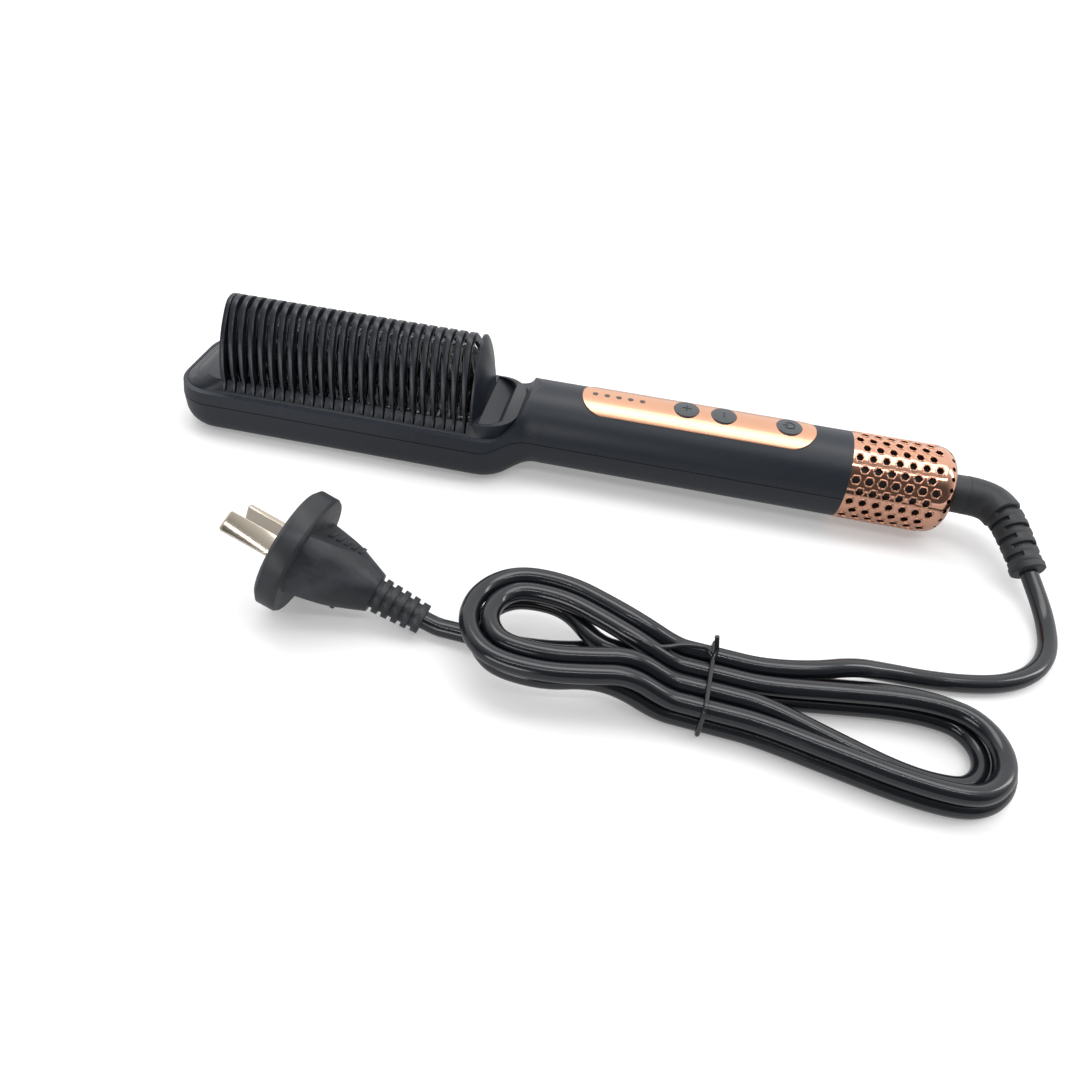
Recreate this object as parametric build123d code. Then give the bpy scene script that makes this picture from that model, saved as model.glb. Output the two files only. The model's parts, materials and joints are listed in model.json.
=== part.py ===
"""Hair straightening brush: heated comb in a guard, round grip, swivel tail, folded lead and plug.

Millimetres. X runs from the head's tip to the tail, Z is up with the comb's blades up, and the brush
lies on its back on z = 0. The origin is under the middle of the brush without its cord.
"""
import math
import os

from build123d import *

# Lengths along the handle's axis
HEAD_LENGTH = 129.2
GRIP_LENGTH = 112.2
CAGE_LENGTH = 35.1
COLLAR_LENGTH = 7.0
TOTAL_LENGTH = HEAD_LENGTH + GRIP_LENGTH + CAGE_LENGTH + COLLAR_LENGTH
TIP_X = -TOTAL_LENGTH / 2
HEAD_END_X = TIP_X + HEAD_LENGTH
CAGE_X = HEAD_END_X + GRIP_LENGTH
CAGE_END_X = CAGE_X + CAGE_LENGTH
TAIL_X = CAGE_END_X + COLLAR_LENGTH

# Head tub and grip
HEAD_HALF = 22.5
TIP_CORNER = 14.0
NECK_CORNER = 15.0
TUB_FILLET = 8.0
RIM_Z = 17.7
RIM_DRAFT = 0.178
PART_Z = 13.2
GRIP_RADIUS = 15.0
AXIS_Z = GRIP_RADIUS + 1.0
WALL = 2.0
NECK_BLEND = 5.0
NECK_RUN = 9.0
NECK_SECTIONS = 10
NECK_RAYS = 60
SHOULDER_RUN = 8.0
LIP = 1.2
SEAM = 0.25

# Comb guard
FIRST_SLOT = 21.0
COMB_END = 19.16
HOOPS = 24
PITCH = (HEAD_LENGTH - FIRST_SLOT - COMB_END) / HOOPS
SLOT_X = [TIP_X + FIRST_SLOT + PITCH * i for i in range(HOOPS + 1)]
OPENING_HALF = HEAD_HALF - 3.0
OPENING_TIP = 1.9
OPENING_END_X = HEAD_END_X - 2.7
OPENING_TIP_CORNER = 12.0
OPENING_END_CORNER = 12.0
GUARD_CLEARANCE = 0.15
GUARD_BOTTOM = 14.5
RIDGE_Z = 21.6
RIDGE_HALF = HEAD_HALF - 5.9
RIDGE_TIP = 9.6
WINDOW_HALF = RIDGE_HALF - 0.8
SLOT_BOTTOM = 16.4
SLOT_END = OPENING_HALF - 0.7
SLOT_LEFT = 0.95
SLOT_RIGHT = 0.5
TOE_THICKNESS = 0.8
HOOP_FOOT_HALF = RIDGE_HALF + 0.6
FLANK_HALF = HOOP_FOOT_HALF - 0.3
FLANK_Z = 24.0
CREST_RADIUS = 7.0
CREST_TURN = 41.8
HOOP_TOP = 46.4
HOOP_BAND = 2.75
HOOP_CROWN = 2.0
HOOP_LEG = 1.6
HOOP_LEAN = 2.4
TIP_PLATE = 1.6
PLATE_THICKNESS = 2.7
PLATE_BACK = 0.9
PLATE_SLOPE = 6.0
PLATE_GAP = 1.4
PLATE_FOOT_Z = 18.0
DISH_DEPTH = 3.0
DISH_BAND = 3.9

# Heating comb
FIN_THICKNESS = 1.2
FIN_OUTLINE = [(WINDOW_HALF - 2.1, 16.5), (WINDOW_HALF - 3.0, 27.0), (WINDOW_HALF - 6.6, 34.5), (2.5, 40.5)]
FIN_PEAK_Z = 41.0
FIN_AFTER_SLOT = 1.45
BASE_THICKNESS = 2.5
BASE_HALF = OPENING_HALF - 2.5
BASE_TOP = 17.5
HEATER_THICKNESS = 2.7
HEATER_HALF = 6.0
FILM = 0.25
CLAMP_SHEET = 0.8
SHIELD_Z = 5.5
SHIELD_SHEET = 0.5

# Control panel and buttons
PANEL_START = 18.8
PANEL_LENGTH = 80.8
PANEL_HALF = 8.7
PANEL_PROUD = 0.3
PANEL_THICKNESS = 1.2
PANEL_CLEARANCE = 0.12
BUTTON_AFTER_PANEL = (36.4, 49.3, 71.6)
BUTTON_RADIUS = 4.35
BUTTON_CLEARANCE = 0.1
LIGHT_AFTER_PANEL = 4.4
LIGHT_PITCH = 4.15
LIGHTS = 5
LIGHT_RADIUS = 1.0

# Circuit board
BOARD_Z = AXIS_Z + 2.5
BOARD_THICKNESS = 1.6
BOARD_HALF = 10.5
BOARD_START_X = HEAD_END_X + 9.8
BOARD_END_X = CAGE_X - 9.4

# Tail cage and swivel
CAGE_WALL = 1.3
CAGE_ROUND = 5.0
CAGE_ROWS = 24
CAGE_PITCH = 4.34
HOLE_ACROSS = 2.3
CORE_RADIUS = GRIP_RADIUS - 2.0
CORE_WALL = 1.6
HUB_RADIUS = 5.0
RUNNING = 0.05
COLLAR_RADIUS = 6.6

# Cord
CORD_DIAMETER = 5.5
SLEEVE_ROUTE = [(TAIL_X, 0.0, AXIS_Z), (149.0, 0.0, AXIS_Z), (153.9, -6.1, 15.4),
                (157.5, -16.1, 12.6), (160.7, -26.6, 8.8)]
LYING_Z = CORD_DIAMETER / 2
LEAD_ROUTE = [(160.7, -26.6, 8.8), (163.15, -34.6, 5.9), (164.6, -43.6, 3.4), (163.15, -54.5, LYING_Z),
              (157.4, -64.4, LYING_Z), (148.1, -71.2, LYING_Z), (136.4, -74.6, LYING_Z), (123.7, -76.1, LYING_Z),
              (111.2, -77.9, 4.6), (100.5, -82.3, 9.0)]
LANE_STEP = CORD_DIAMETER + 0.8
LAYER_STEP = CORD_DIAMETER + 0.5
LOW_LAYER = LYING_Z + 0.8
WAIST = (59.9, -98.6)
HANK_TURN = -3.4
WAIST_HALF = 4.0
HANK_LEFT = 52.0
HANK_RIGHT = 64.0
HANK_RISE = 22.0
HANK_STAGGER = 2.5
OUTER_TURN = 16.6
INNER_TURN = OUTER_TURN - LAYER_STEP
MIDDLE_TURN = (OUTER_TURN + INNER_TURN) / 2
TURN_SHIFT = 1.0

# Plug
PLUG_RADIUS = 18.5
PLUG_DISC = 7.0
PLUG_RELIEF = 16.0
PLUG_TAPER = 22.0
PLUG_TILT = 19.2
PLUG_TURN = 173.0
PLUG_ROLL = 35.0
BLADE_LENGTH = 17.0
BLADE_WIDTH = 6.35
BLADE_THICKNESS = 1.6
BLADE_SPREAD = 7.9

MID = (Align.CENTER, Align.CENTER, Align.MIN)
EVERY_Y = 30.0


# Shapes used by several parts
def block(x0, x1, y0, y1, z0, z1):
    return Pos((x0 + x1) / 2, (y0 + y1) / 2, (z0 + z1) / 2) * Box(x1 - x0, y1 - y0, z1 - z0)


def rod_x(x0, x1, radius, y=0.0, z=AXIS_Z):
    return Pos(x0, y, z) * Rot(0, 90, 0) * Cylinder(radius, x1 - x0, align=MID)


def rod_z(x, y, z0, z1, radius):
    return Pos(x, y, z0) * Cylinder(radius, z1 - z0, align=MID)


def across(points):
    """A prism across Y from a polygon of (x, z) points."""
    return extrude(Plane.XZ * make_face(Polyline(*points, close=True)), EVERY_Y, both=True)


def outline(x0, x1, half, corner0, corner1):
    """A flat outline, symmetric about the X axis, with its own corner radius at each end."""
    bend = 1 - math.sqrt(0.5)
    a, b = corner0, corner1
    edges = [Line((x0 + a, -half), (x1 - b, -half)), Line((x1, b - half), (x1, half - b)),
             Line((x1 - b, half), (x0 + a, half)), Line((x0, half - a), (x0, a - half))]
    for x, r, inward in ((x1, b, -1), (x0, a, 1)):
        for side in (-1, 1):
            edges.append(ThreePointArc((x + inward * r, side * half),
                                       (x + inward * r * bend, side * (half - r * bend)),
                                       (x, side * (half - r))))
    return make_face(edges)


def slab(face, z0, z1):
    return extrude(Pos(0, 0, z0) * face, z1 - z0)


# Housing
def tub(inset):
    """The head up to where its corners meet the neck."""
    end = HEAD_END_X - NECK_CORNER
    plan = make_face(Wire(outline(TIP_X + inset, end + 40, HEAD_HALF - inset, TIP_CORNER - inset, 10).edges()))
    body = slab(plan, inset, PART_Z)
    body = fillet(body.faces().sort_by(Axis.Z)[0].edges(), TUB_FILLET - inset)
    draw = RIM_DRAFT * (AXIS_Z + 6 - PART_Z)
    narrow = outline(TIP_X + inset + draw, end + 40 - draw, HEAD_HALF - inset - draw,
                     TIP_CORNER - inset - draw, 10 - draw)
    body += loft([Pos(0, 0, PART_Z) * plan, Pos(0, 0, AXIS_Z + 6) * narrow], ruled=True)
    return body & block(TIP_X - 1, end, -EVERY_Y, EVERY_Y, -1, 60)


def tub_distance(x, y, z):
    """Distance from the tub's outline, less than nothing inside it, with its lower edge rounded."""
    dx = x - (HEAD_END_X - NECK_CORNER)
    dy = abs(y) - (HEAD_HALF - NECK_CORNER)
    plan = math.hypot(max(dx, 0), max(dy, 0)) + min(max(dx, dy), 0) - NECK_CORNER
    plan += RIM_DRAFT * max(z - PART_Z, 0)
    low = math.hypot(max(plan + TUB_FILLET, 0), max(TUB_FILLET - z, 0)) - TUB_FILLET
    top = AXIS_Z + GRIP_RADIUS
    high = math.hypot(max(plan + TUB_FILLET, 0), max(z - top + TUB_FILLET, 0)) - TUB_FILLET
    return max(low, high)


def neck_distance(x, y, z):
    """Distance from the tub and the grip together, with a round blend between them."""
    a = tub_distance(x, y, z)
    b = math.hypot(y, z - AXIS_Z) - GRIP_RADIUS
    near = math.hypot(max(NECK_BLEND - a, 0), max(NECK_BLEND - b, 0))
    return max(max(NECK_BLEND, min(a, b)) - near, -z)


def neck_point(x, angle, inset):
    """The point of the neck's section at x that lies at an angle round the grip's axis."""
    near, far = 0.0, 40.0
    for _ in range(40):
        r = (near + far) / 2
        if neck_distance(x, r * math.sin(angle), AXIS_Z + r * math.cos(angle)) < -inset:
            near = r
        else:
            far = r
    return (x, near * math.sin(angle), AXIS_Z + near * math.cos(angle))


def neck(inset):
    """Loft from the tub's section to the round grip, a hair inside both where it meets them."""
    start = HEAD_END_X - NECK_CORNER
    length = NECK_CORNER + NECK_RUN
    sections = []
    for k in range(NECK_SECTIONS + 1):
        x = start + length * k / NECK_SECTIONS
        hair = 0.05 if k in (0, NECK_SECTIONS) else 0.0
        angles = [2 * math.pi * i / NECK_RAYS for i in range(NECK_RAYS)]
        ring = [neck_point(x, angle, inset + hair) for angle in angles]
        sections.append(make_face(Spline(*ring, periodic=True)))
    return loft(sections)


def under_top(inset):
    """What lies under the rim, the shoulder and the top of the grip."""
    x = OPENING_END_X
    top = AXIS_Z + GRIP_RADIUS - inset
    rim = RIM_Z - inset
    start = (x - 7, rim)
    end = (x + SHOULDER_RUN, top)
    curve = Spline(start, (x - 2.2, rim + 1.8), (x, rim + 3.8), (x + 2.4, rim + 9), end,
                   tangents=[(1, 0), (1, 0)])
    rest = Polyline(end, (CAGE_X + 5, top), (CAGE_X + 5, inset), (TIP_X - 5, inset), (TIP_X - 5, rim), start)
    return extrude(Plane.XZ * make_face([curve] + rest.edges()), EVERY_Y, both=True)


def housing(inset):
    grip = rod_x(HEAD_END_X + NECK_RUN, CAGE_X, GRIP_RADIUS - inset)
    return (tub(inset) + neck(inset) + grip) & under_top(inset)


def below_parting(lift):
    """What lies under the line where the two shells meet, moved up by lift."""
    x = HEAD_END_X
    start = (x - 13, PART_Z + lift)
    end = (x - 1, AXIS_Z + lift)
    curve = Spline(start, end, tangents=[(1, 0), (1, 0)])
    rest = Polyline(end, (CAGE_X + 5, end[1]), (CAGE_X + 5, -5), (TIP_X - 5, -5), (TIP_X - 5, start[1]), start)
    return extrude(Plane.XZ * make_face([curve] + rest.edges()), EVERY_Y, both=True)


def boss(x, y, z0, z1, radius=3.0):
    return rod_z(x, y, z0, z1, radius)


def shell_screw_places():
    """Place, seat of the head and top of the back shell's boss: two screws at the tip, two in the grip."""
    return [(TIP_X + 11.5, -4.5, 3.4, 9.0), (TIP_X + 11.5, 4.5, 3.4, 9.0),
            (HEAD_END_X + 5.8, 0.0, 4.4, AXIS_Z), (CAGE_X - 5.4, 0.0, 4.4, AXIS_Z)]


def board_screw_places():
    return [BOARD_START_X + 3.5, BOARD_END_X - 3.5]


def opening(extra=0.0):
    """The outline of the comb guard, which the opening in the front shell follows."""
    return outline(TIP_X + OPENING_TIP - extra, OPENING_END_X + extra, OPENING_HALF - GUARD_CLEARANCE + extra,
                   OPENING_TIP_CORNER + extra, OPENING_END_CORNER + extra)


def panel_outline(extra=0.0):
    x0 = HEAD_END_X + PANEL_START - extra
    x1 = x0 + PANEL_LENGTH + 2 * extra
    half = PANEL_HALF + extra
    return outline(x0, x1, half, half - 0.6, half - 0.6)


def button_places():
    start = HEAD_END_X + PANEL_START
    return dict(zip(("plus", "minus", "power"), [start + d for d in BUTTON_AFTER_PANEL]))


def light_places():
    start = HEAD_END_X + PANEL_START + LIGHT_AFTER_PANEL
    return [start + LIGHT_PITCH * i for i in range(LIGHTS)]


def back_shell(wall, inner_wall, inside):
    body = (wall & below_parting(0)) + (inner_wall & below_parting(-LIP))
    posts = [boss(x, y, 1.0, top, 3.6) for x, y, seat, top in shell_screw_places()]
    posts += [boss(x, 0, 1.0, BOARD_Z) for x in board_screw_places()]
    body += [post & inside for post in posts]
    ribs = [block(SLOT_X[0] + d, SLOT_X[0] + d + 1.2, -16, 16, 1.0, SHIELD_Z) for d in (6, 30, 56, 82)]
    ribs += [block(HEAD_END_X + d, HEAD_END_X + d + 1.2, -9, 9, 1.0, 7.0) for d in (24, 44, 64, 84)]
    body += [rib & inside for rib in ribs]
    for x, y, seat, top in shell_screw_places():
        body -= rod_z(x, y, -1, seat, 2.7)
        body -= rod_z(x, y, -1, top + 1, 1.65)
    for x in board_screw_places():
        body -= rod_z(x, 0, BOARD_Z - 7.5, BOARD_Z + 1, 1.25)
    return body


def front_shell(wall, inner_wall, inside):
    body = (wall - below_parting(SEAM)) + (inner_wall - below_parting(-LIP))
    ledge = slab(outline(TIP_X, HEAD_END_X - 1.0, HEAD_HALF, 10, 10), PART_Z, GUARD_BOTTOM) & inside
    body += ledge - slab(opening(-2.2), 0, 30) - below_parting(-LIP)
    posts = [boss(x, y, AXIS_Z, AXIS_Z + GRIP_RADIUS - 1, 3.6) for x, y, seat, top in shell_screw_places()[2:]]
    body += [post & inside for post in posts]
    body -= slab(opening(GUARD_CLEARANCE), GUARD_BOTTOM, 60)
    for x, y, seat, top in shell_screw_places()[2:]:
        body -= rod_z(x, y, top - 1, top + 9, 1.4)
    skin = rod_x(HEAD_END_X, CAGE_X, 40) - rod_x(HEAD_END_X, CAGE_X, GRIP_RADIUS + PANEL_PROUD - PANEL_THICKNESS)
    body -= skin & slab(panel_outline(PANEL_CLEARANCE), AXIS_Z, 60)
    for x in button_places().values():
        body -= rod_z(x, 0, AXIS_Z, 60, BUTTON_RADIUS + BUTTON_CLEARANCE)
    for x in light_places():
        body -= rod_z(x, 0, AXIS_Z, 60, LIGHT_RADIUS)
    return body


# Comb guard
def arch_face(x, inset, foot_z):
    """The filled outline of an arch across the brush at x, with its edge moved in by inset."""
    turn = math.radians(CREST_TURN)
    crest = CREST_RADIUS - inset
    centre = HOOP_TOP - CREST_RADIUS
    y, z = crest * math.sin(turn), centre + crest * math.cos(turn)
    half, foot = FLANK_HALF - inset, HOOP_FOOT_HALF - inset
    fall = (math.cos(turn), -math.sin(turn))
    sides = [Line((-foot, foot_z), (foot, foot_z)), Line((foot, foot_z), (half, FLANK_Z)),
             Line((-half, FLANK_Z), (-foot, foot_z)), ThreePointArc((-y, z), (0, centre + crest), (y, z)),
             TangentArc((y, z), (half, FLANK_Z), tangent=fall),
             TangentArc((-y, z), (-half, FLANK_Z), tangent=(-fall[0], fall[1]))]
    return Plane(origin=(x, 0, 0), x_dir=(0, 1, 0), z_dir=(1, 0, 0)) * make_face(sides)


def toes(x0, x1):
    """The two feet of a hoop, flared out along the guard's flanks."""
    reach = HOOP_FOOT_HALF - HOOP_BAND
    edge, over = WINDOW_HALF - 0.1, BASE_TOP + 0.3
    side = Polyline((edge, SLOT_BOTTOM), (SLOT_END, SLOT_BOTTOM), (SLOT_END, 17.9), (HOOP_FOOT_HALF, 21.0),
                    (FLANK_HALF, FLANK_Z), (reach, FLANK_Z), (reach, over), (edge, over), close=True)
    frame = Plane(origin=(x0, 0, 0), x_dir=(0, 1, 0), z_dir=(1, 0, 0))
    foot = extrude(frame * make_face(side), x1 - x0)
    return [foot, foot.mirror(Plane.XZ)]


def hoop(x):
    """One open arch that leans to the tip, thick at its crown and thin at its feet."""
    crown, leg = HOOP_CROWN / 2, HOOP_LEG / 2
    top, middle = x - HOOP_LEAN, x - HOOP_LEAN + 1.0
    left, right = x - SLOT_LEFT, x - SLOT_LEFT + TOE_THICKNESS
    start, depth = top - crown - 0.5, HOOP_LEAN + crown + 1.0
    ring = extrude(arch_face(start, 0.0, 20.0), depth)
    ring -= extrude(arch_face(start - 1, HOOP_BAND, 10.0), depth + 2)
    lean = across([(left, 10), (right, 10), (right, 21.5), (middle + leg, 33), (top + crown, 44),
                   (top + crown, 60), (top - crown, 60), (top - crown, 44), (middle - leg, 33), (left, 21.5)])
    return [ring & lean] + toes(left, right)


def tip_plate():
    return extrude(arch_face(SLOT_X[0] - TIP_PLATE - 0.2, 0.0, PLATE_FOOT_Z), TIP_PLATE)


def grip_plate():
    """The solid arch at the grip's end: a thin back, then sides that slope in to a narrow front."""
    x = SLOT_X[-1] + PLATE_GAP
    back = extrude(arch_face(x, 0.0, PLATE_FOOT_Z), PLATE_BACK)
    sections = [arch_face(x + PLATE_BACK, 0.0, PLATE_FOOT_Z),
                arch_face(x + PLATE_THICKNESS, PLATE_SLOPE, PLATE_FOOT_Z)]
    return back + loft(sections, ruled=True)


def guard_base():
    """The sloped base with its window, its slots and the dish in front of the grip."""
    low = Pos(0, 0, RIM_Z) * opening()
    high = outline(TIP_X + RIDGE_TIP, OPENING_END_X, RIDGE_HALF, 10.0, 10.0)
    body = slab(opening(), GUARD_BOTTOM, RIM_Z) + loft([low, Pos(0, 0, RIDGE_Z) * high], ruled=True)
    first, last = SLOT_X[0], SLOT_X[-1]
    body -= block(first - 1.2, last + PLATE_GAP + 0.6, -WINDOW_HALF, WINDOW_HALF, 0, 60)
    for x in SLOT_X:
        body -= block(x - SLOT_LEFT, x + SLOT_RIGHT, -SLOT_END, SLOT_END, SLOT_BOTTOM, 60)
    plate_end = last + PLATE_GAP + PLATE_THICKNESS
    band = OPENING_END_X - DISH_BAND
    dish = across([(plate_end, RIDGE_Z + 1), (plate_end, RIDGE_Z - 0.6), (band - 2.6, RIDGE_Z - DISH_DEPTH),
                   (band - 0.9, RIDGE_Z - 0.4), (band, RIDGE_Z + 1)])
    body -= dish & slab(outline(last - 20, band, RIDGE_HALF - 0.7, 5, 7.5), 0, 60)
    pocket = slab(outline(TIP_X + 5.5, first - 9.5, 14, 3, 2), 0, 19.6)
    body -= pocket - [boss(x, y, 0, 30, 3.6) for x, y, seat, top in shell_screw_places()[:2]]
    return body


def comb_guard():
    first = SLOT_X[0] - SLOT_LEFT
    extra = [tip_plate(), grip_plate()] + toes(first, first + TOE_THICKNESS)
    for x in SLOT_X[1:]:
        extra += hoop(x)
    body = guard_base() + extra
    for x, y, seat, top in shell_screw_places()[:2]:
        body += boss(x, y, top, GUARD_BOTTOM + 1, 2.6)
        body -= rod_z(x, y, top - 1, top + 8, 1.4)
    for x, y in guard_screw_places():
        body -= rod_z(x, y, 0, GUARD_BOTTOM + 3, 1.25)
    return body


def guard_screw_places():
    first, last = SLOT_X[0], SLOT_X[-1]
    return [(x, y) for x in (first - 5.0, last + 6.6) for y in (-11.0, 11.0)]


# Heating comb and what presses on it
def fin(x):
    y, z = FIN_OUTLINE[-1]
    sides = Polyline(*[(-a, b) for a, b in reversed(FIN_OUTLINE)], *FIN_OUTLINE)
    peak = ThreePointArc((y, z), (0, FIN_PEAK_Z), (-y, z))
    frame = Plane(origin=(x - FIN_THICKNESS / 2, 0, 0), x_dir=(0, 1, 0), z_dir=(1, 0, 0))
    return extrude(frame * make_face(sides.edges() + [peak]), FIN_THICKNESS)


def heating_comb():
    first, last = SLOT_X[0], SLOT_X[-1]
    under = GUARD_BOTTOM - BASE_THICKNESS
    body = block(first - 2.5, last + 4.2, -BASE_HALF, BASE_HALF, under, GUARD_BOTTOM)
    body += block(first - 0.9, last + 1.2, 0.3 - WINDOW_HALF, WINDOW_HALF - 0.3, under, BASE_TOP)
    for x, y in guard_screw_places():
        body += block(x - 3.2, x + 3.2, y - 3.2, y + 3.2, under, GUARD_BOTTOM)
        body += block(min(x, first - 2), max(x, last + 3) if x > last else first, y - 3.2, y + 3.2,
                      under, GUARD_BOTTOM)
    for side in (-1, 1):
        y = side * (HEATER_HALF + 1.3)
        body += block(first + 7, last - 6, y - 1.0, y + 1.0, under - HEATER_THICKNESS, under)
    body += [fin(x + FIN_AFTER_SLOT) for x in SLOT_X[:-1]]
    for x, y in guard_screw_places():
        body -= rod_z(x, y, 0, GUARD_BOTTOM + 1, 1.35)
    return body


def heater_span():
    return SLOT_X[0] + 10, SLOT_X[-1] - 9


def heater_bottom():
    return GUARD_BOTTOM - BASE_THICKNESS - HEATER_THICKNESS


def ptc_heater():
    x0, x1 = heater_span()
    return block(x0, x1, -HEATER_HALF, HEATER_HALF, heater_bottom(), heater_bottom() + HEATER_THICKNESS)


def heater_insulator():
    x0, x1 = heater_span()
    return block(x0 - 2, x1 + 2, -HEATER_HALF, HEATER_HALF, heater_bottom() - FILM, heater_bottom())


def heater_clamp():
    """A sheet spring along the heater with two bridges whose feet bear on the casting."""
    x0, x1 = heater_span()
    top = heater_bottom() - FILM
    under = GUARD_BOTTOM - BASE_THICKNESS
    body = block(x0 + 2, x1 - 2, -4.5, 4.5, top - CLAMP_SHEET, top)
    for x in (x0 + 14, x1 - 14):
        body += block(x - 4, x + 4, -13.5, 13.5, top - CLAMP_SHEET, top)
        for side in (-1, 1):
            y0, y1 = sorted((side * 12.7, side * 13.5))
            body += block(x - 4, x + 4, y0, y1, top - CLAMP_SHEET, under)
            y0, y1 = sorted((side * 12.7, side * 16.5))
            body += block(x - 4, x + 4, y0, y1, under - CLAMP_SHEET, under)
    return body


def heat_shield():
    x0, x1 = SLOT_X[0] + 1, SLOT_X[-1]
    body = block(x0, x1, -17, 17, SHIELD_Z, SHIELD_Z + SHIELD_SHEET)
    for side in (-1, 1):
        y0, y1 = sorted((side * 16.5, side * 17))
        body += block(x0, x1, y0, y1, SHIELD_Z, SHIELD_Z + 3)
    for x in (x0 + 9 + 12 * i for i in range(7)):
        for y in (-9, 0, 9):
            body -= block(x - 3, x + 3, y - 1, y + 1, SHIELD_Z - 1, SHIELD_Z + 1)
    return body


def thermistor():
    under = GUARD_BOTTOM - BASE_THICKNESS
    x = SLOT_X[-1] - 3
    return fillet(block(x - 3, x + 3, -2, 2, under - 2.4, under).faces().sort_by(Axis.Z)[0].edges(), 0.8)


def thermal_fuse():
    under = GUARD_BOTTOM - BASE_THICKNESS
    x = SLOT_X[-1] - 12
    return rod_x(x - 6, x + 6, 2.0, 11.0, under - 2.0) + block(x - 6, x + 6, 10, 12, under - 1.0, under)


def screw(x, y, z_head, z_tip, shank, head, head_height):
    """A pan head screw that points up from below when z_tip is over z_head."""
    up = 1 if z_tip > z_head else -1
    z0, z1 = sorted((z_head, z_tip))
    top, bottom = sorted((z_head, z_head - up * head_height))
    body = rod_z(x, y, z0, z1, shank) + rod_z(x, y, top, bottom, head)
    slot_z = z_head - up * head_height
    deep = up * head_height * 0.5
    a, b = sorted((slot_z, slot_z + deep))
    body -= block(x - head * 0.6, x + head * 0.6, y - 0.3, y + 0.3, a, b)
    return body - block(x - 0.3, x + 0.3, y - head * 0.6, y + head * 0.6, a, b)


def guard_screws():
    under = GUARD_BOTTOM - BASE_THICKNESS
    return [screw(x, y, under, GUARD_BOTTOM + 2.5, 1.25, 2.3, 1.6) for x, y in guard_screw_places()]


def shell_screws():
    return [screw(x, y, seat, top + 7, 1.4, 2.5, 1.8) for x, y, seat, top in shell_screw_places()]


def board_screws():
    top = BOARD_Z + BOARD_THICKNESS
    return [screw(x, 0, top, BOARD_Z - 6.5, 1.25, 2.4, 1.6) for x in board_screw_places()]


# Panel, buttons and lights
def control_panel():
    outer = GRIP_RADIUS + PANEL_PROUD
    skin = rod_x(HEAD_END_X, CAGE_X, outer) - rod_x(HEAD_END_X, CAGE_X, outer - PANEL_THICKNESS)
    body = skin & slab(panel_outline(), AXIS_Z, 60)
    for x in button_places().values():
        body -= rod_z(x, 0, AXIS_Z, 60, BUTTON_RADIUS + BUTTON_CLEARANCE)
    for x in light_places():
        body -= rod_z(x, 0, AXIS_Z, 60, LIGHT_RADIUS)
    return body


def button(x):
    """A domed cap with a flange under the shell and a plunger over its switch."""
    top = AXIS_Z + GRIP_RADIUS + PANEL_PROUD + 0.5
    switch_top = BOARD_Z + BOARD_THICKNESS + 5.0
    under = AXIS_Z + GRIP_RADIUS - 3.8
    cap = rod_z(x, 0, under, top, BUTTON_RADIUS)
    ball = 22.0
    cap &= Pos(x, 0, top - ball) * Sphere(ball)
    flange = rod_z(x, 0, under - 1.0, under + 0.1, BUTTON_RADIUS + 1.1)
    return cap + flange + rod_z(x, 0, switch_top, under - 0.7, 2.0)


def stem(x):
    top = BOARD_Z + BOARD_THICKNESS
    return rod_z(x, 0, top + 2.3, top + 5.0, 1.7)


def tact_switches():
    top = BOARD_Z + BOARD_THICKNESS
    bodies = []
    for x in button_places().values():
        case = block(x - 3, x + 3, -3, 3, top, top + 3.5) - rod_z(x, 0, top + 1.5, 60, 1.75)
        pads = [block(x + a - 0.4, x + a + 0.4, b - 0.4, b + 0.4, top, top + 1.0)
                for a in (-2.2, 2.2) for b in (-3.2, 3.2)]
        bodies.append(case + pads)
    return bodies


def leds():
    top = BOARD_Z + BOARD_THICKNESS
    return [block(x - 1, x + 1, -0.6, 0.6, top, top + 0.8) for x in light_places()]


def light_guide():
    top = BOARD_Z + BOARD_THICKNESS
    places = light_places()
    x0, x1 = places[0] - 3, places[-1] + 3
    body = block(x0, x1, -1.8, 1.8, top + 3.4, top + 4.8)
    body += [block(x, x + 1.2, -1.8, 1.8, top, top + 4.8) for x in (x0, x1 - 1.2)]
    body += [rod_z(x, 0, top + 4, AXIS_Z + GRIP_RADIUS + PANEL_PROUD, LIGHT_RADIUS - 0.05) for x in places]
    return body


# Circuit board
def circuit_board():
    board = block(BOARD_START_X, BOARD_END_X, -BOARD_HALF, BOARD_HALF, BOARD_Z, BOARD_Z + BOARD_THICKNESS)
    for x in board_screw_places():
        board -= rod_z(x, 0, 0, 60, 1.35)
    return fillet(board.edges().filter_by(Axis.Z).filter_by(lambda e: abs(e.center().Y) > BOARD_HALF - 1), 2.0)


def control_chip():
    x, top = button_places()["minus"] + 11, BOARD_Z + BOARD_THICKNESS
    body = block(x - 3.5, x + 3.5, -3, 3, top, top + 1.3)
    legs = [block(x + d - 0.25, x + d + 0.25, side * 3.6 - 0.7, side * 3.6 + 0.7, top, top + 0.5)
            for d in (-2.6, -1.3, 0, 1.3, 2.6) for side in (-1, 1)]
    return body + legs


def triac():
    x = BOARD_START_X + 16
    body = block(x - 5, x + 5, -5, 4, BOARD_Z - 4.4, BOARD_Z)
    return body + block(x - 5, x + 5, 4, 9, BOARD_Z - 1.3, BOARD_Z) - rod_z(x, 6.6, 0, 60, 1.6)


def film_capacitor():
    x = button_places()["plus"] + 2
    return fillet(block(x - 9, x + 9, -4, 4, BOARD_Z - 9.5, BOARD_Z).edges().filter_by(Axis.Z), 0.8)


def wire(points, diameter):
    """A tube along straight runs joined by arcs as large as the runs allow."""
    radii = bend_radii(points)
    path = FilletPolyline(*points, radius=radii)
    start = Plane(origin=points[0], z_dir=(Vector(*points[1]) - Vector(*points[0])).normalized())
    return sweep(start * Circle(diameter / 2), path=path)


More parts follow.
